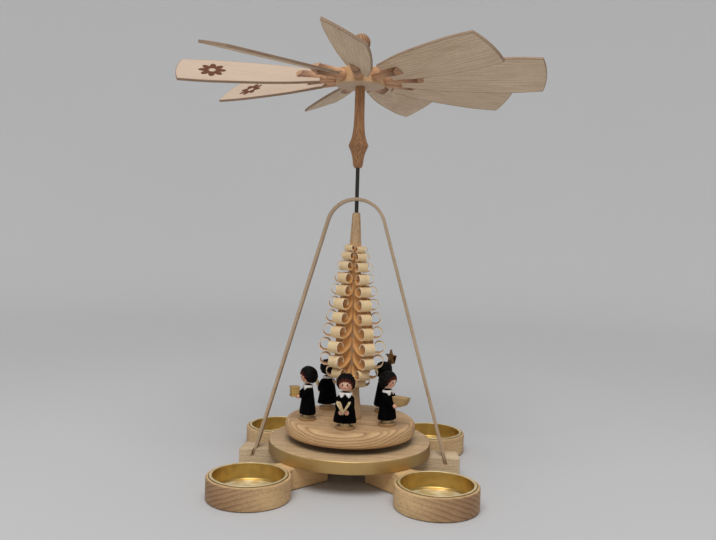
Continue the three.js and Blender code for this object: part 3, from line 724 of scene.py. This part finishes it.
# A cup is a turned section: its underside, wall and flange outside, then the bore and the floor inside. The
# outer wall and the bore, the flange and the floor have finishes of their own; the flange and the floor are
# paler, less metallic brass, a painted reflection of a bright ceiling.
cup = {"outside": 21.0, "bore": 20.45, "flange": 22.0, "lip": 0.5, "floor": 3.2, "sheet": 0.55}


def brassCup():
    outside, bore, flange, lip, floor, sheet = pick(cup, "outside", "bore", "flange", "lip", "floor", "sheet")
    top = stand["height"]
    profile = [(0, floor), (outside - 0.8, floor), (outside, floor + 0.8), (outside, top), (flange, top)]
    profile += [(flange, top + lip), (bore + 0.15, top + lip), (bore, top + 0.1), (bore, floor + 1.4)]
    profile += [(bore - 0.85, floor + sheet), (0, floor + sheet)]
    line = rounded(profile, [0, 0.6, 0.6, 0.1, 0.1, 0.2, 0.25, 0.3, 0.9, 0.9, 0], 4)
    onLip = np.flatnonzero(line[:, 1] > top + 0.2)
    wall = np.flatnonzero(line[:, 0] > bore - 1.45)[-1]
    parts = [(0, onLip[0], 0), (onLip[0], onLip[-1], 2), (onLip[-1], wall, 0), (wall, len(line) - 1, 1)]
    return [turned(line[start:end + 1], 96, finish=finish) for start, end, finish in parts]


# The arch: half of a flat section (thickness by width) on each side of the middle, carried up one leg, round
# the crown and down the other. Where the rod passes, the halves part round its hole.
def archStrip():
    centre, lean = archLine()
    radius, half = arch["crown"], arch["thickness"] / 2
    legs = math.hypot(arch["footX"], arch["footZ"] - centre)
    leg = math.sqrt(legs**2 - radius**2)
    turn = np.linspace(lean, math.pi - lean, 61)
    holeTurn = np.arcsin(np.sin(sweep(-90, 90, 10)) * arch["hole"] / radius)
    turn = np.sort(np.concatenate([turn[np.abs(turn - math.pi / 2) > 0.11], math.pi / 2 + holeTurn]))
    normal = circle(turn)
    crown = normal * radius + [0, centre]
    down = np.array([math.sin(lean), -math.cos(lean)])
    right = crown[:1] + down * leg * np.linspace(1, 0, 40)[:-1, None]
    line = np.vstack([right, crown, (right * [-1, 1])[::-1]])
    across = np.vstack([np.tile(normal[:1], (len(right), 1)), normal, np.tile(normal[-1:], (len(right), 1))])
    atCrown = line[:, 1] > centre
    halfHole = np.sqrt(np.maximum(arch["hole"] ** 2 - line[:, 0] ** 2, 0)) * atCrown
    wide, edge = arch["width"] / 2, arch["edge"]
    lower = circle(sweep(-90, 0, 3), edge) + [wide - edge, edge - half]
    section = np.vstack([lower, lower[::-1] * [1, -1]])
    rows = np.broadcast_to(section, (len(line), *section.shape))
    rows = np.concatenate([together(halfHole, -half)[:, None], rows, together(halfHole, half)[:, None]], 1)
    flat = line[:, None] + across[:, None] * rows[:, :, 1:]
    inHole = (np.abs(line[:, 0]) <= arch["hole"] + 1e-6) & atCrown
    surfaces = []
    for sign in (-1, 1):
        points = together(flat[:, :, 0], sign * rows[:, :, 0], flat[:, :, 1])
        grain = together(distances(line)[:, None], sign * rows[:, :, 0], rows[:, :, 1])
        surfaces.append(gridSurface(points, wrapColumns=False, capStart=True, capEnd=True, grain=grain))
        wall, wallGrain = points[inHole][:, [0, -1]], grain[inHole][:, [0, -1]]
        surfaces.append(gridSurface(wall, wrapColumns=False, grain=wallGrain))
    return surfaces


table = {"radius": 40.8, "bottom": 24.2, "top": 34.1, "edge": 3.9, "hole": 1.5, "grainTurn": 12}
rod = {"radius": 1.2, "bottom": 16.8, "top": 220.8, "taper": 1.0}

makePiece("standBar", [crossBar()], [barWood], "stand", "cross_bar")
aside = stand["armBearing"]
arms = {"front_right": -aside, "front_left": aside - 180, "back_left": 180 - aside, "back_right": aside}
for corner, bearing in arms.items():
    arm = moved(candleArm(), bearing)
    arm["grain"] = arm["grain"] * [1, 1 if corner.endswith("left") else -1, 1] + [31 * len(corner), 0, 0]
    makePiece(f"arm_{corner}", [arm], [armWood], "stand", f"candle_arm_{corner}")
    spot = around(bearing, stand["cupDistance"])
    sheets = [moved(surface, bearing, spot) for surface in brassCup()]
    makePiece(f"cup_{corner}", sheets, [brass, brassFloorReflection, brassLipReflection], "stand", f"brass_cup_{corner}")
makePiece("archStrip", archStrip(), [archWood], "stand", "arch")

# The base disc: a top of plain wood, a rim of gold paint and an underside, one turned section in three parts.
radius, bottom, top, edge = pick(disc, "radius", "bottom", "top", "edge")
pocket, pocketFloor = pick(disc, "pocket", "pocketFloor")
quarter = sweep(0, 90, 4)
upper = circle(quarter[::-1], edge) + [radius - edge, top - edge]
lower = circle(-quarter, edge) + [radius - edge, bottom + edge]
pocketLine = [(pocket, pocketFloor), (pocket, top - 0.2), (pocket + 0.2, top), (radius - edge - 0.6, top)]
discSurfaces = [
    turned(np.vstack([pocketLine, upper[:3]]), 128, 0),
    turned(np.vstack([upper[2:], lower]), 128, 0, finish=1),
    turned([lower[-1], (0, bottom), (0, pocketFloor), pocketLine[0]], 128, 0),
]
makePiece("baseDisc", discSurfaces, [beech, goldRim], "stand", "base_disc")
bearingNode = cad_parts["pivot_bearing"]
bearingNode.data.materials.clear()
bearingNode.data.materials.append(brass)
print("stand built")

# What turns: the rod, and the turntable, whose section is a plate with one wide round edge all round.
radius, bottom, top, taper = pick(rod, "radius", "bottom", "top", "taper")
rodLine = rounded([(0, bottom), (radius, bottom + taper), (radius, top - taper), (0, top)], [0, 0.4, 0.6, 0])
makePiece("pivotRod", [turned(rodLine, 24)], [steel], "rotor", "rod")

radius, bottom, top, edge, hole = pick(table, "radius", "bottom", "top", "edge", "hole")
tableLine = rounded([(hole, bottom), (radius, bottom), (radius, top), (hole, top)], [0, edge, edge, 0], 8)
board = turned(np.vstack([tableLine, tableLine[:1]]), 128, 0)
board["grain"] = moved(board, table["grainTurn"])["points"]
fromAxis = np.hypot(board["points"][:, 0], board["points"][:, 1])
# own.x: the side, painted brighter as painted light.
board["own"][:, 0] = np.clip((fromAxis - (radius - edge)) / (edge * 0.6), 0, 1)
# own.y: the lowest 1.3 mm, painted dark as a painted shadow.
board["own"][:, 1] = np.clip(1.3 - (board["points"][:, 2] - bottom) / 1.3, 0, 1)
makePiece("turntableDisc", [board], [tableWood], "rotor", "turntable")

# The tree: its trunk is a turned line (radius, height above the turntable), and each tier has its height, how
# far its shavings reach and their diameter.
tree = {
    "trunk": (
        (7.0, 0), (6.9, 3), (5.6, 12), (4.9, 20), (4.6, 45), (3.9, 95), (3.6, 109), (3.0, 120), (2.4, 129),
    ),
    "bore": 1.5, "bearings": (1, 62, 118, 184, 236, 304), "turnPlay": 2.5,
    "heights": (57.9, 63.6, 71.2, 80.1, 89.3, 98.0, 106.6, 114.8, 122.4, 129.9, 136.0, 140.8),
    "reach": (12.0, 16.8, 20.6, 21.0, 19.2, 17.8, 16.2, 14.7, 13.0, 11.4, 9.4, 7.6),
    "diameters": (5.0, 6.6, 8.0, 8.2, 8.1, 7.9, 7.6, 7.2, 6.7, 6.1, 5.2, 4.2),
    "width": 7.2, "thickness": 0.34, "rootThickness": 1.3, "rootRise": 0.72, "roomShare": 0.84,
    "rootHeights": (0, 20, 109, 129), "rootStarts": (6.0, 4.0, 2.7, 1.5), "sweep": 285, "tighter": 0.26,
}


# One shaving: the strip leaves the trunk high above its ring's centre, droops to the ring's foot along a
# cubic and rolls up and over in a slowly tighter circle. It is thick at the root, and near the trunk only as
# wide as the room between its neighbours.
def shaving(height, reach, diameter, random):
    diameter = diameter * random.uniform(0.93, 1.05)
    thickness = tree["thickness"]
    radius = diameter / 2 - thickness / 2
    centre = reach - diameter / 2
    root = np.interp(height - table["top"], tree["rootHeights"], tree["rootStarts"])
    start = np.array([root, height + diameter * tree["rootRise"]])
    foot = np.array([centre, height - radius])
    span, drop = foot - start
    t = np.linspace(0, 1, 13)[:-1, None]
    one, two = start + [span * 0.16, drop * 0.62], foot - [span * 0.52, drop * 0.02]
    droop = (1 - t) ** 3 * start + 3 * t * (1 - t) ** 2 * one + 3 * t**2 * (1 - t) * two + t**3 * foot
    turn = tree["sweep"] * random.uniform(0.88, 1.04)
    tighter = 1 - tree["tighter"] * np.linspace(0, 1, 23) ** 1.4
    roll = circle(sweep(-90, -90 + turn, 22), radius * tighter) + [centre, height]
    line = np.vstack([droop, roll])
    share = np.linspace(0, 1, len(line))
    along = unit(np.gradient(line, axis=0))
    thick = np.interp(share, [0, 0.3, 0.5, 1], [tree["rootThickness"], 0.7, thickness, thickness])
    normal = together(-along[:, 1], along[:, 0]) * thick[:, None] / 2
    room = 2 * math.tan(math.pi / len(tree["bearings"]))
    wide = min(tree["width"], room * centre * tree["roomShare"]) * random.uniform(0.93, 1.03)
    width = np.minimum(wide, np.maximum(room * line[:, 0] - 0.3, 1.5)) / 2
    width[len(droop):] = wide / 2
    across = np.concatenate([np.linspace(-1, 1, 5), np.linspace(1, -1, 5)])
    side = np.repeat([1, -1], 5)
    y = width[:, None] * across + (random.uniform(-0.5, 0.5) * share)[:, None]
    flat = line[:, None] + normal[:, None] * side[None, :, None]
    length = np.cumsum(np.linalg.norm(np.gradient(line, axis=0), axis=1))
    shift = random.uniform(0, 60, 3)
    grain = together(length[:, None] + shift[0], y + shift[1], side * 0.25 + shift[2])
    own = together(share[:, None], across + np.where(side > 0, 10, 0) + 0 * y, random.random())
    points = together(flat[:, :, 0], y, flat[:, :, 1])
    return gridSurface(points, capStart=True, capEnd=True, grain=grain, own=own)


random = np.random.default_rng(12)
curls = []
for height, reach, diameter in zip(tree["heights"], tree["reach"], tree["diameters"]):
    for bearing in tree["bearings"]:
        lift = 0.5 if 100 < bearing < 260 else -0.4
        strip = shaving(height + lift, reach * random.uniform(0.97, 1.0), diameter, random)
        curls.append(moved(strip, bearing + random.uniform(-tree["turnPlay"], tree["turnPlay"])))
trunkLine = [(tree["bore"], 0), *tree["trunk"], (tree["bore"], tree["trunk"][-1][1])]
trunkSurface = turned(rounded(trunkLine, [0, 0.5, 3, 5, 5, 9, 9, 4, 4, 0.4, 0]), 48)
trunkSurface = moved(trunkSurface, offset=(0, 0, table["top"]))
makePiece("treeTrunk", [trunkSurface], [trunkWood], "rotor", "shaving_tree")
makePiece("treeCurls", curls, [shavingWood], "rotor", "shaving_tree", sharp=50)
print("tree built:", len(curls), "shavings")


# The singers, each built looking along its own +X. "waist" is the gown's (radius, height) half way up, and
# "hands" are the hands' height and their distance from the middle.
singer = {
    "distance": 27.8, "footRadius": 5.4, "footThickness": 1.6, "footFloor": 1.35, "legRadius": 2.6,
    "robeBottom": 3.8, "robeTop": 22.4, "hem": 6.7, "waist": (5.8, 11.4), "shoulder": 3.9, "flatness": 0.72,
    "folds": 9, "foldDepth": 0.025, "head": 4.9, "hand": 1.45, "handAhead": 3.1,
}
singers = [
    {"name": "front", "bearing": 267, "holds": "book", "hands": (11.0, 1.7)},
    {"name": "left", "bearing": 200, "holds": "lantern", "hands": (15.0, 1.8)},
    {"name": "back_left", "bearing": 127, "holds": "book", "hands": (11.0, 1.7)},
    {"name": "star", "bearing": 44, "holds": "star", "hands": (23.5, 1.6)},
    {"name": "right", "bearing": 327, "holds": "bowedBook", "hands": (13.0, 2.2)},
]


# Where the hands are held: just in front of the gown at that height.
def handPlace(height, spread):
    bottom, top, hem, shoulder = pick(singer, "robeBottom", "robeTop", "hem", "shoulder")
    share = (height - bottom) / (top - bottom)
    front = max(hem + (shoulder - hem) * share, shoulder) * singer["flatness"]
    return np.array([front + singer["handAhead"], spread, height])


bottom, top, hem, shoulder = pick(singer, "robeBottom", "robeTop", "hem", "shoulder")
gownLine = [(0, bottom), (hem, bottom), (hem + 0.3, bottom + 0.8), singer["waist"]]
gownLine += [(shoulder + 0.3, top - 2.8), (shoulder - 0.9, top - 0.5), (0, top - 0.3)]
gownProfile = rounded(gownLine, [0, 0.4, 0.5, 3, 1.6, 0.9, 0], 5)


# Gown: a flared turned body with shallow folds, and two sleeves that reach to the hands.
def gown(hand):
    bottom, top = singer["robeBottom"], singer["robeTop"]
    body = turned(gownProfile, 40, squash=singer["flatness"])
    angle = np.arctan2(body["points"][:, 1], body["points"][:, 0])
    depth = singer["foldDepth"] * np.clip((top - body["points"][:, 2]) / (top - bottom), 0, 1)
    body["points"][:, :2] *= (1 + depth * np.cos(singer["folds"] * angle))[:, None]
    surfaces = [body]
    for side in (1, -1):
        wrist = hand * [1, side, 1]
        shoulder = np.array([0, side * 3.2, top - 3.0])
        elbow = (shoulder + wrist) / 2 + [-0.4, side * 1.5, -1.1 if hand[2] < top else 0.4]
        line = smoothLine([shoulder, elbow, wrist], 6)[:-2]
        radii = np.interp(np.linspace(0, 1, len(line)), [0, 0.08, 0.5, 0.92, 1], [1.2, 1.9, 1.8, 1.65, 1.3])
        surfaces.append(tube(line, radii, 14, side=(0.1, 0, 1)))
    return surfaces


# Collar: a thin white band that lies on the gown. From the neck it runs down the gown's own profile, a
# little way at the back and further in two round lobes at the front.
def collar():
    angle = sweep(0, 360, 72, whole=True)
    front = np.abs(np.angle(np.exp(1j * angle)))
    reach = 1.5 + 1.7 * np.exp(-((front - 0.55) ** 2) / 0.1) - np.exp(-(front**2) / 0.02)
    line = gownProfile[::-1][1:]
    down = np.array([0.0, 0.0, 0.35, 0.7, 0.95, 1.0, 1.0, 0.5])[:, None]
    lift = np.array([-0.2, 0.45, 0.5, 0.5, 0.42, 0.2, -0.2, -0.25])[:, None]
    along = 1.0 + down * reach
    radius = np.interp(along, distances(line), line[:, 0]) + lift
    height = np.interp(along, distances(line), line[:, 1]) + lift * 0.6
    points = together(radius * np.cos(angle) * singer["flatness"], radius * np.sin(angle), height)
    return gridSurface(points, wrapRows=True, finish=1)


# The head is a ball. Its own is the place on it, as a share of its radius.
def headBall():
    surface = ball((0, 0, 0), singer["head"], 32)
    surface["own"] = surface["points"] / singer["head"]
    return moved(surface, offset=(0, 0, singer["robeTop"] + singer["head"]))


# Hair: a cap drawn round the face. Seen along the face's axis, which points forwards and "dip" degrees down,
# it starts at a ragged fringe just above the eyes, comes down beside both cheeks and leaves the chin and the
# neck free. The outside swells towards the back, with two soft bumps and a parting on top. "faceAngles" are
# where the hair starts, in degrees from the face's axis, for each of "upwards", from chin (-1) to brow (1).
hair = {
    "upwards": (-1, -0.9, -0.5, 0, 0.6, 1), "faceAngles": (118, 100, 62, 45, 33, 27), "dip": 12,
    "front": 0.4, "back": 0.4, "bumps": 0.35, "locks": 0.2,
}


def hairCap():
    radius = singer["head"]
    turn = sweep(0, 360, 96, whole=True)
    upwards = np.cos(turn)
    start = np.interp(upwards, hair["upwards"], hair["faceAngles"])
    start = start + (3.5 * np.sin(11 * turn) + 2.5 * np.sin(23 * turn + 1)) * (upwards > -0.8)
    share = np.concatenate([np.linspace(1, 0, 9), [0.0, 0.015], np.linspace(0.05, 1, 24)])[:, None]
    polar = np.radians(start + (180 - start) * share)
    inside = np.arange(len(share))[:, None] < 9
    forward, left, up = np.cos(polar), np.sin(polar) * np.sin(turn), np.sin(polar) * upwards
    dip = math.radians(hair["dip"])
    x, z = forward * math.cos(dip) + up * math.sin(dip), up * math.cos(dip) - forward * math.sin(dip)
    swell = hair["front"] + hair["back"] * np.clip(share * 4, 0, 1) ** 0.5
    bumps = hair["bumps"] * np.exp(-((np.abs(left) - 0.45) ** 2) / 0.05) * np.clip(z, 0, 1)
    locks = hair["locks"] * np.sin(15 * turn + 3 * np.sin(7 * share)) * np.sin(np.pi * share) ** 0.5
    size = np.where(inside, radius - 0.3, radius + swell + bumps + locks)
    size[9] = radius - 0.1
    fringe = np.clip(1.2 - share * 7, 0, 1) * np.clip(upwards * 3 + 0.6, 0, 1)
    points = together(x, left, z) * size[:, :, None]
    surface = gridSurface(points, own=together(fringe, share, turn / math.pi))
    return moved(surface, offset=(-0.1, 0, singer["robeTop"] + radius))


# Turns a shape built along Z to lie along X, so that its X faces left and its Y up.
alongX = [[0, 0, 1], [1, 0, 0], [0, 1, 0]]


# Seen from the front: an outline (left, up) given some depth, which then faces forwards.
def facing(outline, nearest, farthest, edge, rim=0.1):
    return moved(plate(outline, nearest, farthest, edge, rim=rim), turn=alongX)


# What the singers carry. The lantern's bands are (how much wider, lowest, highest).
props = {
    "bookNearest": 0.3, "bookFarthest": 4.4, "bowLength": 4.8, "bowDrop": 5.7, "bowWidth": 5.6,
    "lanternHalf": (2.5, 2.6), "starPoint": 5.2, "starNotch": 2.3, "starRise": 12.0, "starThickness": 1.4,
    "bands": ((0, 0.3, 5.4), (0.4, -0.1, 0.7), (0.4, 5.1, 5.9), (0.2, 1.9, 2.4), (0.2, 3.5, 4.0)),
    "stickRadius": 0.7,
}


# An open book: two covers in a V with their leaves, whose near ends step back towards the fold.
def bookPages(hand):
    near, far = props["bookNearest"], props["bookFarthest"]
    surfaces = []
    for side, thick in ((1, 1.0), (-1, 1.9)):
        cover = np.array([(0, -0.9), (4.1, 5.8), (4.1, 6.4), (3.7, 6.5), (0, 0.0)]) * [side, 1]
        leaves = [(0.1, 0.0), (3.6, 6.1), (3.5 - 0.7 * thick, 6.3), (2.3 - 0.7 * thick, 4.2)]
        pages = np.array([*leaves, (0.9, 2.6 + 0.4 * thick), (0, 1.0)]) * [side, 1]
        for outline, start, end in ((cover, near, far), (pages, near + 0.2, far - 0.2)):
            flat = facing(rounded(outline[::side], 0.12, 2, closed=True), start, end, 0.12)
            surfaces.append(moved(flat, offset=(hand[0], 0, hand[2] + 0.4)))
    return surfaces


# A bowed book: half an ellipse seen from the side, with its flat edge on top.
def bowedBook(hand):
    outline = circle(sweep(180, 360, 24)) * [props["bowLength"], props["bowDrop"]]
    half = props["bowWidth"] / 2
    turn = [[1, 0, 0], [0, 0, -1], [0, 1, 0]]
    return [moved(plate(outline, -half, half, 0.35), turn=turn, offset=(hand[0] + 3.0, 0, hand[2] + 5.65))]


# A lantern: a box with a foot, a roof and two bands round it, each a square plate with round corners.
def lanternBox(hand):
    square = np.array([(-1, -1), (1, -1), (1, 1), (-1, 1)])
    surfaces = []
    for wider, low, high in props["bands"]:
        outline = rounded(square * (np.array(props["lanternHalf"]) + wider), 0.35, 3, closed=True)
        surfaces.append(moved(plate(outline, low, high, 0.2, rim=0.2), offset=(hand[0] + 1.7, 0, hand[2])))
    return surfaces


# A star: ten corners, by turns far from its centre and near it, on a round stick.
def starOnStick(hand):
    radius = np.where(np.arange(10) % 2 == 0, props["starPoint"], props["starNotch"])
    outline = rounded(circle(sweep(90, 450, 10, whole=True), radius), 0.3, 3, closed=True)
    half, thick = props["starThickness"] / 2, props["stickRadius"]
    star = facing(outline, -half, half, 0.25, rim=0.2)
    star = moved(star, offset=(hand[0], 0, hand[2] + props["starRise"]))
    line = np.array([(hand[0], 0, hand[2] + up) for up in (-4.4, -4.2, 0, props["starRise"] - 1)])
    return [star, tube(line, [0.3, thick, thick, thick], 12, side=(0, 1, 0.1))]


carried = {
    "book": (bookPages, bookWood, "book"),
    "bowedBook": (bowedBook, bowedWood, "book"),
    "lantern": (lanternBox, goldProp, "gold_paint"),
    "star": (starOnStick, starGold, "gold_paint"),
}

# The foot ring is a low dish, and the peg joins it to the gown.
radius, thickness, floor = pick(singer, "footRadius", "footThickness", "footFloor")
footLine = [(0, 0), (radius, 0), (radius, thickness), (radius - 1, thickness), (radius - 1.2, floor)]
foot = turned(rounded([*footLine, (0, floor)], [0, 0.4, 0.5, 0.2, 0.1, 0]), 40, 0, finish=2)
radius, low, high = singer["legRadius"], floor - 0.05, singer["robeBottom"] + 0.2
leg = turned(rounded([(0, low), (radius, low), (radius, high), (0, high)], [0, 0.1, 0.1, 0]), 24, finish=2)


def buildSinger(name, bearing, holds, hands):
    hand = handPlace(*hands)
    spot = around(bearing, singer["distance"], table["top"])

    def add(part, surfaces, finishes, node):
        surfaces = [moved(surface, bearing, spot) for surface in surfaces]
        makePiece(f"singer_{name}_{part}", surfaces, finishes, "rotor", f"singer_{name}_{node}")

    add("gown", [*gown(hand), collar(), foot, leg], [black, white, footWood], "robe")
    add("face", [headBall()], [facePaint], "head")
    add("cap", [hairCap()], [hairPaint], "hair")
    shape, finish, slot = carried[holds]
    fists = [ball(hand * [1, side, 1], singer["hand"], 14, finish=1) for side in (1, -1)]
    add("carries", [*shape(hand), *fists], [finish, skin], "prop")


for who in singers:
    buildSinger(**who)
print("singers built")


# The wheel: spindle, hub, ball and blades, each blade with its own pitch in degrees. The lines of the turned
# parts are (radius, height).
wheel = {
    "hubRadius": 15.3, "hubBottom": 241.0, "hubTop": 251.0, "bladeHeight": 246.0, "firstBlade": 29.0,
    "ballRadius": 5.6, "ballHeight": 267.8,
}
pitches = (32.6, 27.6, 20.5, 35.5, 37.2, 13.3, 28.5, 25.1, 34.0)
spindleLine = [
    (0, 221.1), (1.5, 221.1), (1.5, 190.9), (1.9, 190.8), (2.7, 191.6), (3.2, 193.4), (3.6, 197.2),
    (4.5, 200.6), (6.0, 204.0), (6.2, 204.7), (6.0, 205.4), (4.9, 207.9), (4.0, 211.2), (3.45, 216),
    (3.15, 223), (3.05, 240.7), (0, 240.7),
]
spindleCuts = [0, 0.1, 0.2, 0.5, 0.8, 1.4, 1.6, 1.6, 0.35, 0.3, 0.35, 1.5, 1.8, 2.4, 3, 0.1, 0]
spindle = turned(rounded(spindleLine, spindleCuts, 5), 48)
makePiece("turnedSpindle", [spindle], [spindleWood], "wheel", "spindle")
radius, bottom, top = pick(wheel, "hubRadius", "hubBottom", "hubTop")
hubLine = rounded([(0, bottom), (radius, bottom), (radius, top), (0, top)], [0, 0.9, 0.9, 0], 5)
hub = turned(hubLine, 96, 0)
# own.x marks the underside, painted greyer as painted shade.
hub["own"][:, 0] = np.clip(1 - (hub["points"][:, 2] - bottom) / 1.2, 0, 1)
makePiece("hubDisc", [hub], [hubWood], "wheel", "wheel_hub")
ballHeight = wheel["ballHeight"]
knob = circle(sweep(-66, 90, 20), wheel["ballRadius"]) + [0, ballHeight]
neckLine = [(0, top - 0.5), (4.8, top - 0.5), (4.8, top + 1.3), (3.1, top + 3), (2.3, top + 7)]
neckLine += [(2.25, ballHeight - 5.2)]
finial = turned(np.vstack([rounded(neckLine, [0, 0.1, 0.5, 1, 2, 0]), knob]), 48)
makePiece("ballFinial", [finial], [ballWood], "wheel", "ball_finial")

holder = {"radius": 3.3, "start": 15.35, "slot": 25.0, "end": 39.5, "slant": 3.4, "gap": 1.05}
blade = {
    "start": 25.0, "tip": 112.2, "root": 7.5, "middle": 11.7, "widest": 13.7, "tipHalf": 13.0, "bulge": 2.2,
    "thickness": 1.6,
}


# A slotted dowel along +X: a turned body, then two half-round prongs whose ends are cut on a slant.
def dowel():
    radius, start, slot, gap = pick(holder, "radius", "start", "slot", "gap")
    line = [(0, start), (radius - 0.2, start), (radius, start + 1.2), (radius, slot), (0, slot)]
    body = turned(rounded(line, [0, 0.3, 0.5, 0.05, 0]), 32)
    surfaces = [moved(body, turn=alongX)]
    low = math.degrees(math.asin(gap / radius))
    for side in (1, -1):
        section = circle(sweep(low, 180 - low, 14), radius) * [1, side]
        depth = (np.abs(section[:, 1]) - gap) / (radius - gap)
        end = holder["end"] - holder["slant"] * depth
        x = np.stack([np.full(len(end), slot - 0.2), end - 0.4, end])
        shrink = np.array([1, 1, 0.93])[:, None]
        points = together(x, section[:, 0] * shrink, section[:, 1] * (0.5 + shrink / 2))
        own = points * 0
        own[1:, :, 0] = [[1], [0.3]]
        surfaces.append(gridSurface(points, capStart=True, capEnd=True, own=own))
    return surfaces


# A blade along +X: a smooth side line mirrored in the middle, and a tip that is a shallow arc.
def bladePlate():
    start, tip, tipHalf, bulge = pick(blade, "start", "tip", "tipHalf", "bulge")
    corner = tip - bulge
    reach = corner - start
    middle, widest = (start + reach * 0.32, blade["middle"]), (start + reach * 0.75, blade["widest"])
    side = smoothLine([(start, blade["root"]), middle, widest, (corner, tipHalf)], 8)
    bend = (tipHalf**2 + bulge**2) / (2 * bulge)
    turn = math.degrees(math.asin(tipHalf / bend))
    end = circle(sweep(-turn, turn, 20)[1:-1], bend) + [tip - bend, 0]
    half = blade["thickness"] / 2
    return plate(np.vstack([side * [1, -1], end, side[::-1]]), -half, half, 0.3, rim=0.35)


for number, pitch in enumerate(pitches):
    bearing = wheel["firstBlade"] + 360 / len(pitches) * number
    turn = Matrix.Rotation(math.radians(bearing), 3, "Z") @ Matrix.Rotation(-math.radians(pitch), 3, "X")
    centre = (0, 0, wheel["bladeHeight"])
    body, node = f"blade_body_{number + 1}", f"blade_{number + 1}"
    sheet = bladePlate()
    sheet["grain"] = sheet["points"] + [31 * number, 0, 5.3 * number]
    sheet["own"][:, 0] += np.where(sheet["points"][:, 2] < 0, rosette["undersideMark"], 0)
    sheet = moved(sheet, turn=turn, offset=centre)
    makePiece(f"{node}_wood", [sheet], [bladeWood], body, node)
    prongs = [moved(surface, turn=turn, offset=centre) for surface in dowel()]
    for surface in prongs:
        surface["grain"] = surface["grain"] + [17 * number, 3.1 * number, 0]
    node = f"holder_{number + 1}"
    makePiece(f"{node}_wood", prongs, [dowelWood], body, f"blade_{node}")
print("wheel built")


# A round studio bowl: flat floor, then a wide hollow up to a high wall, so that no edge shows from any side.
studio = {
    "floor": 900.0, "bend": 700.0, "wall": 1500.0, "below": -0.3, "grey": colour(199, 199, 200),
    "second": colour(196, 196, 197), "glow": colour(92, 92, 91),
}
low, floor, bend = pick(studio, "below", "floor", "bend")
hollow = circle(sweep(-90, 0, 24)[1:], bend) + [floor, bend + low]
bowl = np.vstack([[(0, low), (300, low), (floor, low)], hollow, [(floor + bend, studio["wall"])]])
bowlSurface = turned(bowl, 96)
bowlMesh = bpy.data.meshes.new("studioBowl")
bowlMesh.from_pydata((bowlSurface["points"] * mm).tolist(), [], [face[::-1] for face in bowlSurface["faces"]])
bowlMesh.shade_smooth()
bowlFinish = Finish("glowingStudioPaper", Roughness=0.9, Specular_IOR_Level=0.1, Emission_Strength=1.0)
paper = bowlFinish.noise(bowlFinish.place(), 2.0, 2.0)
bowlFinish.set("Base Color", bowlFinish.mix(paper, studio["grey"], studio["second"]))
# Away from the middle the bowl glows: painted light that brightens the backdrop and lights the object from
# all round.
aside, backwards, _ = bowlFinish.split(bowlFinish.place())
outside = bowlFinish.step((aside * aside + backwards * backwards) ** 0.5, 0.3, 1.3)
bowlFinish.set("Emission Color", bowlFinish.mix(outside, (0, 0, 0, 1), studio["glow"]))
bowlMesh.materials.append(bowlFinish.material)
bowlObject = bpy.data.objects.new("studioBowl", bowlMesh)
bpy.context.scene.collection.objects.link(bowlObject)


def softLight(name, place, target, size, power):
    lamp = bpy.data.lights.new(name, "AREA")
    lamp.shape = "DISK"
    lamp.size = size
    lamp.energy = power
    lampObject = bpy.data.objects.new(name, lamp)
    away = Vector(place) - Vector(target)
    lampObject.rotation_mode = "QUATERNION"
    lampObject.rotation_quaternion = away.to_track_quat("Z", "Y")
    lampObject.location = place
    bpy.context.scene.collection.objects.link(lampObject)


softLight("key", (-0.05, -0.7, 1.25), (0, 0, 0.1), 1.0, 12.5)
softLight("ceiling", (0.1, 0.2, 1.35), (0, 0, 0.1), 1.2, 3.0)
world = bpy.data.worlds.new("studioAir")
bpy.context.scene.world = world
world.use_nodes = True
world.node_tree.nodes["Background"].inputs["Color"].default_value = (1, 1, 1, 1)
world.node_tree.nodes["Background"].inputs["Strength"].default_value = 0.25

# The camera stands where the photograph was taken; its turn is heading, then pitch, then roll.
camera = {"place": (28.97, -475.66, 149.92), "lens": 38.30, "heading": -3.239, "pitch": 2.702, "roll": 1.739}
pitch, roll = np.radians(pick(camera, "pitch", "roll")).tolist()
ahead = np.array(around(90 - camera["heading"], math.cos(pitch), -math.sin(pitch)))
right = np.array(around(-camera["heading"], 1.0))
above = np.cross(right, ahead)
rolledRight = right * math.cos(roll) + above * math.sin(roll)
rolledUp = above * math.cos(roll) - right * math.sin(roll)
lens = bpy.data.cameras.new("photographer")
lens.lens = camera["lens"]
lens.sensor_width = 36
lens.sensor_fit = "HORIZONTAL"
lens.clip_start, lens.clip_end = 0.02, 20
viewer = bpy.data.objects.new("photographer", lens)
placeMatrix = Matrix(np.stack([rolledRight, rolledUp, -ahead], 1).tolist()).to_4x4()
placeMatrix.translation = [value * mm for value in camera["place"]]
viewer.matrix_world = placeMatrix
bpy.context.scene.collection.objects.link(viewer)
bpy.context.scene.camera = viewer
bpy.context.scene.view_settings.view_transform = "Standard"
